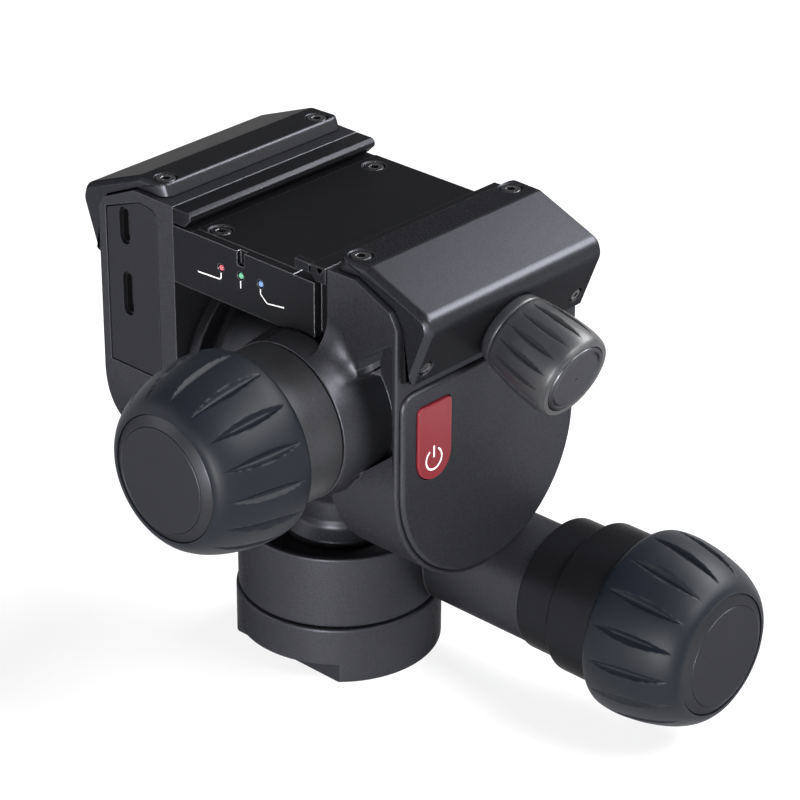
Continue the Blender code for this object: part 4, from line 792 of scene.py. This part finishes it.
worked(right_case, cuts=[prism(POCKET, "XZ", -40, POCKET_FLOOR)])
worked(right_case, joins=[as_tool(root)], cuts=[
    barrel_bore(MOTOR_BORE, -38, 4.5),
    barrel_bore(7.2, -34.2, 3.9),
    barrel_bore(5.4, -33.5, 3.2, WORM_X),
    barrel_bore(3.4, -31.3, 41.3, WORM_X),
    slab((24.3, -7.3, 98.5), (34.3, 7.3, 114.6)),
    rod(SCREW_BORE, 18, CLAMP_AXIS, on_clamp_axis(32.0), 32),
])
fitted(right_case, "cases", "casting", "right_case")

left_case = case_shell("left_case_shell", LEFT_INNER, LEFT_OUTER, -26.0, 108.6, 2.8)
PANEL_OUTLINE = ((-44.2, 68.5), (-27.7, 68.5), (-27.7, 110.4), (-33.3, 111.0), (-44.2, 106.8))


SLOT_STEPS = 12


def port_slot(x, z, width, length):
    """An upright slot with round ends, in (x, z)."""
    run = []
    for centre, start in ((z + (length - width) / 2, 0.0), (z - (length - width) / 2, math.pi)):
        turns = [start + math.pi * step / SLOT_STEPS for step in range(SLOT_STEPS + 1)]
        run += [(x + width / 2 * math.cos(turn), centre + width / 2 * math.sin(turn)) for turn in turns]
    return run


PORTS = (("camera_port", "usb_socket", -38.3, 103.9, 9.2), ("screen_port", "hdmi_socket", -37.9, 87.0, 11.0))
SLOT_WIDTH = 3.4
panel_room = rounded([(x + math.copysign(GAP, x + 36), z + math.copysign(GAP, z - 90)) for x, z in PANEL_OUTLINE],
                     (0.4, 0.4, 3.6, 1.2, 1.0))
worked(left_case, cuts=[prism(panel_room, "XZ", PORT_FACE - 1, PORT_FACE + 1.5)]
       + [prism(port_slot(x, z, SLOT_WIDTH, length), "XZ", PORT_FACE - 1, PORT_FACE + 8)
          for label, node, x, z, length in PORTS])
fitted(left_case, "cases", "casting", "left_case")
left_cover = case_cover("left_case_cover", LEFT_OUTER)
fitted(left_cover, "cases", "casting", "left_cover")

# The power button floats in a recess of the right cover: red moulded plastic, flat at the top
# and round below, with a ring and a stroke inlaid in white.
BUTTON_Y = -18.8
BUTTON_Z = 72.0
BUTTON_RADIUS = 5.35
BUTTON_TOP = 85.1
right_cover = case_cover("right_case_cover", RIGHT_OUTER)
turns = [math.pi + math.pi * step / 32 for step in range(33)]
button_run = [(BUTTON_Y + BUTTON_RADIUS * math.cos(turn), BUTTON_Z + BUTTON_RADIUS * math.sin(turn)) for turn in turns]
button_run += rounded((button_run[-1], (BUTTON_Y + BUTTON_RADIUS, BUTTON_TOP), (BUTTON_Y - BUTTON_RADIUS, BUTTON_TOP),
                       button_run[0]), (0, 1.5, 1.5, 0), open_run=True)[1:-1]
cover_face = RIGHT_OUTER + COVER_PROUD
recess_floor = cover_face - 1.0
worked(right_cover, cuts=[
    prism(pulled_in(button_run, -GAP), "YZ", recess_floor, cover_face + 1),
    rod(1.8, 9, X, (RIGHT_OUTER - 4, BUTTON_Y, BUTTON_Z), 24),
])
fitted(right_cover, "cases", "casting", "right_cover")
button_back = recess_floor + 0.6
button_face = cover_face + 0.5
red_plastic = coated("red_plastic", (0.145, 0.010, 0.016), 0.42, speckle=0.05, bump=0.04, edge=0.2, specular=0.35)
white_inlay = coated("white_inlay", (0.80, 0.80, 0.80), 0.5, speckle=0.03, bump=0.02, edge=0)
button = part_from("power_button_cap", prism(button_run, "YZ", button_back, button_face, high_edge=0.3), red_plastic)
plunger_end = 43.2
worked(button, joins=[rod(1.5, button_back + 0.4 - plunger_end, X, (plunger_end, BUTTON_Y, BUTTON_Z), 24)])
fitted(button, "power_button", "red", "power_button")
MARK_Y = -19.2
MARK_Z = 71.6
MARK_RADIUS = 2.5
MARK_WIDTH = 0.42
opening = math.radians(32)
turns = [math.pi / 2 + opening + (2 * math.pi - 2 * opening) * step / 48 for step in range(49)]
inner_ring, outer_ring = [[(MARK_Y + radius * math.cos(turn), MARK_Z + radius * math.sin(turn)) for turn in turns]
                          for radius in (MARK_RADIUS - MARK_WIDTH / 2, MARK_RADIUS + MARK_WIDTH / 2)]
low, high = MARK_Y - MARK_WIDTH / 2, MARK_Y + MARK_WIDTH / 2
stroke = [(low, MARK_Z + 0.4), (high, MARK_Z + 0.4), (high, MARK_Z + 3.2), (low, MARK_Z + 3.2)]
for label, run in (("power_mark_ring", outer_ring + inner_ring[::-1]), ("power_mark_stroke", stroke)):
    mark = part_from(label, prism(run, "YZ", button_face - 0.1, button_face + 0.04), white_inlay)
    fitted(mark, "power_button", "red")

# The barrel's front collar is turned aluminium with a satin grey finish; the tilt drive's motor
# sits inside it and the tilt knob's stem comes out through its face.
BARREL_LENGTH = 12.0
barrel_front = BARREL_SEAM - BARREL_LENGTH
satin_turned = coated("satin_turned", (0.055, 0.0555, 0.0605), 0.46, metallic=0.8, speckle=0.14, bump=0.05, wear_and_sheen=0.2,
                      edge=0.2)
barrel_ring = part_from("barrel_front_collar", turned(rounded((
    (STEM_BORE, 0),
    (LOCK_RADIUS, 0),
    (LOCK_RADIUS, BARREL_LENGTH),
    (MOTOR_BORE, BARREL_LENGTH),
    (MOTOR_BORE, 2.0),
    (STEM_BORE, 2.0),
), (0, 0.9, 0.3, 0, 0, 0)), Y, (BARREL_X, barrel_front, BARREL_Z), closed=True), satin_turned)
fitted(barrel_ring, "cases", "turned", "barrel_collar")
hand_knob("tilt_knob", "front_knob", -Y, (BARREL_X, barrel_front - GAP, BARREL_Z), 2.0, "tilt_knob")

# The clamp's bed bridges the two cases: a milled block with a raised plate floor, whose front
# bar holds three small lamps and the fine white lines that lead from them.
BED_FLOOR = 109.4
BED_LEFT = -22.0
BED_RIGHT = 25.0
BED_HALF = 29.8
BAR_FRONT = -30.1
BAR_BACK = -27.8
BAR_BOTTOM = 95.4
BAR_RIGHT = 21.7
CHANNEL_LEFT = -16.2
CHANNEL_RIGHT = 15.4
LAMP_Z = 103.6
LAMPS = (("lamp_red", -6.8, (0.40, 0.08, 0.10)), ("lamp_green", -0.7, (0.10, 0.34, 0.20)),
         ("lamp_blue", 5.4, (0.12, 0.22, 0.46)))
# The bed and jaws get a strong lighter edge colour: some wear, and mostly a painted highlight along the bar's and
# lips' edges.
bed_black = coated("bed_anodised", (0.0200, 0.0203, 0.0232), 0.42, metallic=0.8, speckle=0.16, bump=0.08, wear_and_sheen=0.7,
                   specular=0.2, rim=0.25)
bed = part_from("clamp_bed_block", slab((BED_LEFT, BAR_BACK, 97.0), (BED_RIGHT, BED_HALF, BED_FLOOR)), bed_black)
SCREW_RADIUS = 2.3
SCREW_DEPTH = 1.8


def screw_room(spot, normal, radius=SCREW_RADIUS, depth=SCREW_DEPTH):
    """The counterbore that a socket screw sits in, slightly opened at its mouth."""
    mouth = radius + GAP
    floor = -depth - GAP
    return turned(((0, floor), (mouth, floor), (mouth, -0.25), (mouth + 0.3, 0.02), (mouth + 0.3, 2.5), (0, 2.5)),
                  normal, spot, steps=40)


def socket_screw(name, label, spot, normal, radius=SCREW_RADIUS, depth=SCREW_DEPTH):
    """A black socket-head screw standing in its counterbore, with a rolled rim and a hexagon hole."""
    socket = radius * 0.52
    low, high = depth * 0.35, depth + 1
    under = Vector(spot) - normal * depth
    screw = part_from(label, rod(radius, depth - 0.2, normal, under, 40, (0, 0, 0.35, 0)), black_steel)
    worked(screw, cuts=[turned(((0, low), (socket, low), (socket, high), (0, high)), normal, under, steps=6)])
    fitted(screw, "cases", "steel", name)


BED_SCREW_SPOTS = ((-12.0, -24.8, BED_FLOOR), (-12.0, 24.8, BED_FLOOR))
worked(bed, joins=[slab((BED_LEFT, BAR_FRONT, BAR_BOTTOM), (BAR_RIGHT, BAR_BACK + 1, BED_FLOOR - 0.1))], cuts=[
    slab((-1.7, BAR_FRONT - 1, 106.0), (0.5, BAR_FRONT + 1.2, BED_FLOOR + 1)),
    slab((19.8, -TAIL_HALF - GAP, 96.0), (BED_RIGHT + 1, TAIL_HALF + GAP, BED_FLOOR + 1)),
    slab((BED_LEFT - 1, BAR_FRONT - 1, BED_FLOOR - 0.2), (CHANNEL_LEFT, BED_HALF + 1, BED_FLOOR + 1)),
    slab((CHANNEL_RIGHT, BAR_FRONT - 1, BED_FLOOR - 0.2), (BED_RIGHT + 1, BED_HALF + 1, BED_FLOOR + 1)),
] + [screw_room(spot, Z) for spot in BED_SCREW_SPOTS]
  + [rod(1.0, 2.5, Y, (x, BAR_FRONT - 1, LAMP_Z), 32) for node, x, colour in LAMPS])
fitted(bed, "cases", "casting", "clamp_bed")
black_steel = coated("blackened_steel", (0.020, 0.020, 0.022), 0.28, metallic=0.6, speckle=0.10, bump=0.04,
                     wear_and_sheen=1.0, edge=0.25)
for spot, end in zip(BED_SCREW_SPOTS, ("front", "rear")):
    socket_screw(f"bed_screw_{end}", f"bed_{end}_screw", spot, Z)

# Three tiny moulded lamp lenses in the bar, red, green and blue, each softly lit from behind.
for node, x, colour in LAMPS:
    lens_finish = coated(node + "_lens", colour, 0.2, speckle=0.04, bump=0.02, edge=0)
    glow = lens_finish.node_tree.nodes["Principled BSDF"]
    glow.inputs["Emission Color"].default_value = (*colour, 1)
    glow.inputs["Emission Strength"].default_value = 0.25
    dome = ((0, -0.12), (0.4, -0.06), (0.62, 0.06), (0.7, 0.2), (0.7, 1.2), (0, 1.2))
    lens = part_from(node + "_dome", turned(dome, Y, (x, BAR_FRONT, LAMP_Z), steps=32), lens_finish)
    fitted(lens, "cases", node, node)
LINE_WIDTH = 0.3
LINE_FACE = BAR_FRONT - 0.03
LEADERS = (("red_leader", ((-6.8, 102.4), (-6.8, 100.8), (-14.2, 100.4))),
           ("green_leader", ((-0.7, 102.4), (-0.7, 100.6))),
           ("blue_leader", ((5.4, 102.4), (5.4, 101.3), (7.4, 99.6), (12.6, 100.3))))
for label, run in LEADERS:
    run = rounded(run, 0.9, 5, open_run=True)
    left, right = [], []
    for index, point in enumerate(run):
        along = (Vector(run[min(index + 1, len(run) - 1)]) - Vector(run[max(index - 1, 0)])).normalized()
        normal = Vector((-along.y, along.x)) * LINE_WIDTH / 2
        left.append(tuple(Vector(point) + normal))
        right.append(tuple(Vector(point) - normal))
    line = part_from(label, prism(left + right[::-1], "XZ", LINE_FACE, BAR_FRONT + 0.1), white_inlay)
    fitted(line, "cases", "casting")

# The dovetail jaws: the left one is fixed on the bed, and the right one slides on it with a tail
# that reaches down to the clamp screw's nut. Both are milled; their lips are painted lighter, for rubbed wear and a
# painted edge highlight.
JAW_TOP = 113.5
JAW_LIP = 1.8
LIP_TOP = JAW_TOP - 0.7
JAW_CHAMFER = 0.8
LEFT_EDGE = -16.3
RIGHT_EDGE = 19.9
seat = BED_FLOOR + GAP
rise = JAW_TOP - JAW_LIP - seat


def jaw_bar(name, run, radii):
    """One jaw's bar: its dovetail section along the whole bed."""
    return part_from(name, prism(rounded(run, radii, 3), "XZ", BAR_FRONT, BED_HALF, 0.3, 0.3), bed_black)


fixed_jaw = jaw_bar("fixed_jaw_bar", (
    (BED_LEFT, seat), (LEFT_EDGE - rise, seat), (LEFT_EDGE, JAW_TOP - JAW_LIP), (LEFT_EDGE, LIP_TOP),
    (LEFT_EDGE - JAW_CHAMFER, JAW_TOP), (BED_LEFT, JAW_TOP)), (0, 0.3, 0.25, 0.2, 0.2, 0.2))
fitted(fixed_jaw, "cases", "casting", "fixed_jaw")
LUG_LOW = JAW_TOP - 2.4
LUG_HIGH = JAW_TOP - 0.1
moving_jaw = jaw_bar("moving_jaw_bar", (
    (RIGHT_EDGE, JAW_TOP - JAW_LIP), (RIGHT_EDGE + rise, seat), (BED_RIGHT, seat), (BED_RIGHT, JAW_TOP),
    (RIGHT_EDGE + JAW_CHAMFER, JAW_TOP), (RIGHT_EDGE, LIP_TOP)), (0.25, 0.3, 0, 0.2, 0.2, 0.2))
NUT_LEFT = 27.3
NUT_WIDTH = 4.6
nut_axis = on_clamp_axis(NUT_LEFT + NUT_WIDTH / 2).z
JAW_TRAVEL = 4.5
nut_high = nut_axis + 4.1 + JAW_TRAVEL * math.tan(CLAMP_TILT) + GAP
slot_high = on_clamp_axis(NUT_LEFT - JAW_TRAVEL).z + 3.2 + 0.6
worked(moving_jaw, joins=[
    slab((15.8, BAR_FRONT, LUG_LOW), (RIGHT_EDGE + 1, BAR_FRONT + 1.6, LUG_HIGH), 0.25),
    slab((15.8, 23.9, LUG_LOW), (RIGHT_EDGE + 1, BED_HALF, LUG_HIGH), 0.25),
    slab((24.5, -TAIL_HALF, 101.5), (34.0, TAIL_HALF, 112.5)),
], cuts=[
    slab((NUT_LEFT - GAP, -4.8, 100.5), (NUT_LEFT + NUT_WIDTH + GAP, 4.8, nut_high)),
    slab((23.5, -3.2, 100.5), (35.0, 3.2, slot_high)),
])
fitted(moving_jaw, "moving_jaw", "casting", "moving_jaw")

# The clamp knob: a smaller grey rubber grip with sixteen narrow scoops on the tilted clamp screw,
# its end closed by a spun satin disc with a groove near its rim and a tiny hole at its centre.
CLAMP_LENGTH = 20.2
CLAMP_BODY = ((7.7, 0), (8.5, 0.5), (9.0, 2.6), (8.8, 3.0), (9.3, 3.5), (9.5, 5.0), (10.1, 9.0), (10.4, 13.0),
              (10.4, 17.0), (10.0, 19.4), (9.5, 20.2))
CLAMP_DISC = 8.4
CLAMP_BORE = 6.9
clamp_rear = CLAMP_END - CLAMP_AXIS * CLAMP_LENGTH
disc_start = CLAMP_LENGTH - 2.0
shelf = disc_start - GAP
grey_rubber = coated("grey_rubber", (0.0160, 0.0166, 0.0194), 0.42, speckle=0.10, bump=0.08, grain=1800.0, edge=0,
                     specular=0.45)
clamp_grip = part_from("clamp_knob_rubber", grip_mesh(CLAMP_BODY, 1.0, 4.0, 18.2, (
    (CLAMP_DISC, CLAMP_LENGTH), (CLAMP_DISC, shelf), (CLAMP_BORE, shelf), (CLAMP_BORE, 0)), CLAMP_AXIS, clamp_rear,
    0.19, rows=64, fine=22), grey_rubber)
fitted(clamp_grip, "clamp_knob", "rubber", "clamp_knob_grip")
spun_metal = coated("spun_metal", (0.075, 0.0757, 0.083), 0.34, metallic=0.9, speckle=0.08, bump=0.03, edge=0.15,
                    rim=0.4)
spin_marks = [(6.6 - 0.155 * mark, 2.3 - 0.016 * (mark % 2)) for mark in range(40)]
face_run = [(0, 0), (8.25, 0), (8.25, 1.8), (8.1, 2.15), (7.8, 2.3), (7.3, 2.3), (7.15, 2.1), (7.0, 2.0), (6.75, 2.1),
            *spin_marks, (0.36, 2.3), (0.36, 1.8), (0, 1.8)]
disc = part_from("clamp_knob_face", turned(face_run, CLAMP_AXIS, clamp_rear + CLAMP_AXIS * disc_start, steps=128),
                 spun_metal)
fitted(disc, "clamp_knob", "satin", "clamp_knob_disc")
BOSS_LENGTH = 9.0
boss_end = CLAMP_END - CLAMP_AXIS * (CLAMP_LENGTH + GAP + BOSS_LENGTH)
boss_run = ((SCREW_BORE, 0), (4.2, 0), (4.2, BOSS_LENGTH), (SCREW_BORE, BOSS_LENGTH))
boss = part_from("clamp_boss_tube", turned(boss_run, CLAMP_AXIS, boss_end, steps=48, closed=True), charcoal)
worked(boss, cuts=[slab((33, -20, 77), (RIGHT_OUTER + GAP, 20, 123))])
fitted(boss, "cases", "casting", "clamp_boss")

# The hoods: thick charcoal covers over the cases' roofs and upper sides, softly folded, their
# ends chamfered and rounded at the inner corners, each held by socket screws let into its ridge.
HOOD_FRONT = -28.3
HOOD_REAR = 29.3
HOOD_EDGE = 1.25
HOOD_INNER = 25.8
HOOD_NOSE = 3.0
HOOD_NOSE_LIMIT = 28.6
HOOD_RADII = (0, 1.0, 3.0, 4.0, 4.0, 0.3, 0)
HOOD_SECTIONS = (
    ("right", RIGHT_INNER, RIGHT_OUTER, ((26.9, 116.7), (35.2, 116.5), (52.2, 109.8), (53.3, 106.6), (48.0, 92.7))),
    ("left", LEFT_INNER, LEFT_OUTER, ((-26.9, 116.7), (-35.2, 116.5), (-53.2, 109.4), (-54.4, 106.0), (-49.9, 93.3))),
)
HOOD_SCREW_X = 30.0
HOOD_SCREW_Y = 24.3
SIDE_FACE = ((48.0, 92.7), (52.6, 104.7))
SIDE_SCREW_Y = 24.7
SIDE_SCREW_Z = 96.3
SIDE_SCREW = (1.5, 1.1)
hood_grey = coated("hood_casting", (0.0360, 0.0366, 0.0420), 0.37, metallic=0.85, speckle=0.20, bump=0.10,
                   wear_and_sheen=0.12, edge=0.3, specular=0.2, rim=0.2)


def hood_mesh(section, inner, outer):
    """A hood's mesh: its section skinned along y, drawn in at both ends to make the chamfers."""
    side = 1 if outer > inner else -1
    skin = [(x + side * GAP, z + GAP) for x, z in roof(inner, outer)]
    run = rounded([(side * HOOD_INNER, skin[0][1]), *section, (skin[3][0], section[-1][1])], HOOD_RADII, 8,
                  open_run=True)
    lining = skin[3:0:-1]
    whole = run + lining
    inset_run = pulled_in(whole, 1.0)
    moves = [Vector(inset) - Vector(point) for inset, point in zip(inset_run, whole)]
    nose = [(0.0, 1.0), (0.12, 0.86), (0.35, 0.66), (0.7, 0.38), (1.08, 0.10), (1.4, 0.0), (1.9, 0.0), (2.5, 0.0),
            (HOOD_NOSE, 0.0)]
    stations = [(HOOD_FRONT + into, into, amount) for into, amount in nose]
    stations += [(HOOD_REAR - into, into, amount) for into, amount in reversed(nose)]
    rings = []
    for y, into, amount in stations:
        ring = []
        round_off = HOOD_NOSE - math.sqrt(HOOD_NOSE ** 2 - (HOOD_NOSE - into) ** 2)
        for index, point in enumerate(whole):
            here = Vector(point)
            if 0 < index < len(run) - 1:
                here = here + moves[index] * HOOD_EDGE * amount
            if side * point[0] < HOOD_NOSE_LIMIT and index < len(run) // 2:
                here.x += side * round_off
            ring.append(Vector((here.x, y, here.y)))
        rings.append(ring)
    return skinned(rings, capped=True)


for prefix, inner, outer, section in HOOD_SECTIONS:
    side = 1 if outer > inner else -1
    (x1, z1), (x2, z2) = section[0], section[1]
    ridge = z1 + (z2 - z1) * (HOOD_SCREW_X * side - x1) / (x2 - x1)
    spots = [(side * HOOD_SCREW_X, way * HOOD_SCREW_Y, ridge) for way in (-1, 1)]
    rooms = [screw_room(spot, Z) for spot in spots]
    for spot, end in zip(spots, ("front", "rear")):
        socket_screw(f"{prefix}_hood_screw_{end}", f"{prefix}_{end}_hood_screw", spot, Z)
    if prefix == "right":
        (low_x, low_z), (high_x, high_z) = SIDE_FACE
        normal = Vector((high_z - low_z, 0, low_x - high_x)).normalized()
        at = low_x + (high_x - low_x) * (SIDE_SCREW_Z - low_z) / (high_z - low_z)
        for way, end in ((-1, "front"), (1, "rear")):
            spot = Vector((at, way * SIDE_SCREW_Y, SIDE_SCREW_Z))
            rooms.append(screw_room(spot, normal, *SIDE_SCREW))
            socket_screw(f"side_screw_{end}", f"{end}_side_screw", spot, normal, *SIDE_SCREW)
        rooms.append(rod(4.5, 16, CLAMP_AXIS, on_clamp_axis(RIGHT_OUTER - 4), 48))
    hood = part_from(prefix + "_hood_cover", hood_mesh(section, inner, outer), hood_grey)
    worked(hood, cuts=rooms)
    fitted(hood, "cases", "casting", prefix + "_hood")

# The port panel: a thin black plastic plate let into the left case's front, with two slots
# that open on the metal shells of the camera and screen sockets.
panel_finish = coated("panel_plastic", (0.0300, 0.0304, 0.0345), 0.45, metallic=0.7, speckle=0.12, bump=0.05,
                      edge=0.15, wear_and_sheen=0.1, specular=0.2, rim=0.3)
plate_run = rounded(PANEL_OUTLINE, (0.3, 0.3, 3.4, 1.2, 0.8))
panel = part_from("port_plate", prism(plate_run, "XZ", PORT_FACE + 0.1, PORT_FACE + 1.2, low_edge=0.15), panel_finish)
worked(panel, cuts=[prism(port_slot(x, z, SLOT_WIDTH, length), "XZ", PORT_FACE - 1, PORT_FACE + 3)
                    for label, node, x, z, length in PORTS])
fitted(panel, "cases", "plastic", "port_panel")
socket_metal = coated("socket_shell", (0.012, 0.012, 0.013), 0.35, metallic=0.5, speckle=0.06, bump=0.03, edge=0)
for label, node, x, z, length in PORTS:
    made = prism(port_slot(x, z, SLOT_WIDTH - 0.6, length - 0.6), "XZ", PORT_FACE + 0.8, -22.3, low_edge=0.12)
    shell = part_from(label + "_shell", made, socket_metal)
    worked(shell, cuts=[prism(port_slot(x, z, SLOT_WIDTH - 1.2, length - 1.2), "XZ", PORT_FACE - 1, -23.2)])
    worked(shell, joins=[slab((x - 0.35, PORT_FACE + 1.6, z - length * 0.3), (x + 0.35, -23.0, z + length * 0.3))])
    fitted(shell, "cases", "steel", node)

# Inside the cases: the battery in its black wrap, and the green circuit boards.
board_green = coated("circuit_board", (0.02, 0.10, 0.05), 0.4, speckle=0.2, bump=0.05, grain=900.0, edge=0)
refinish(board_green, "port_board", "main_board")
refinish(black_plastic, "battery_pack")
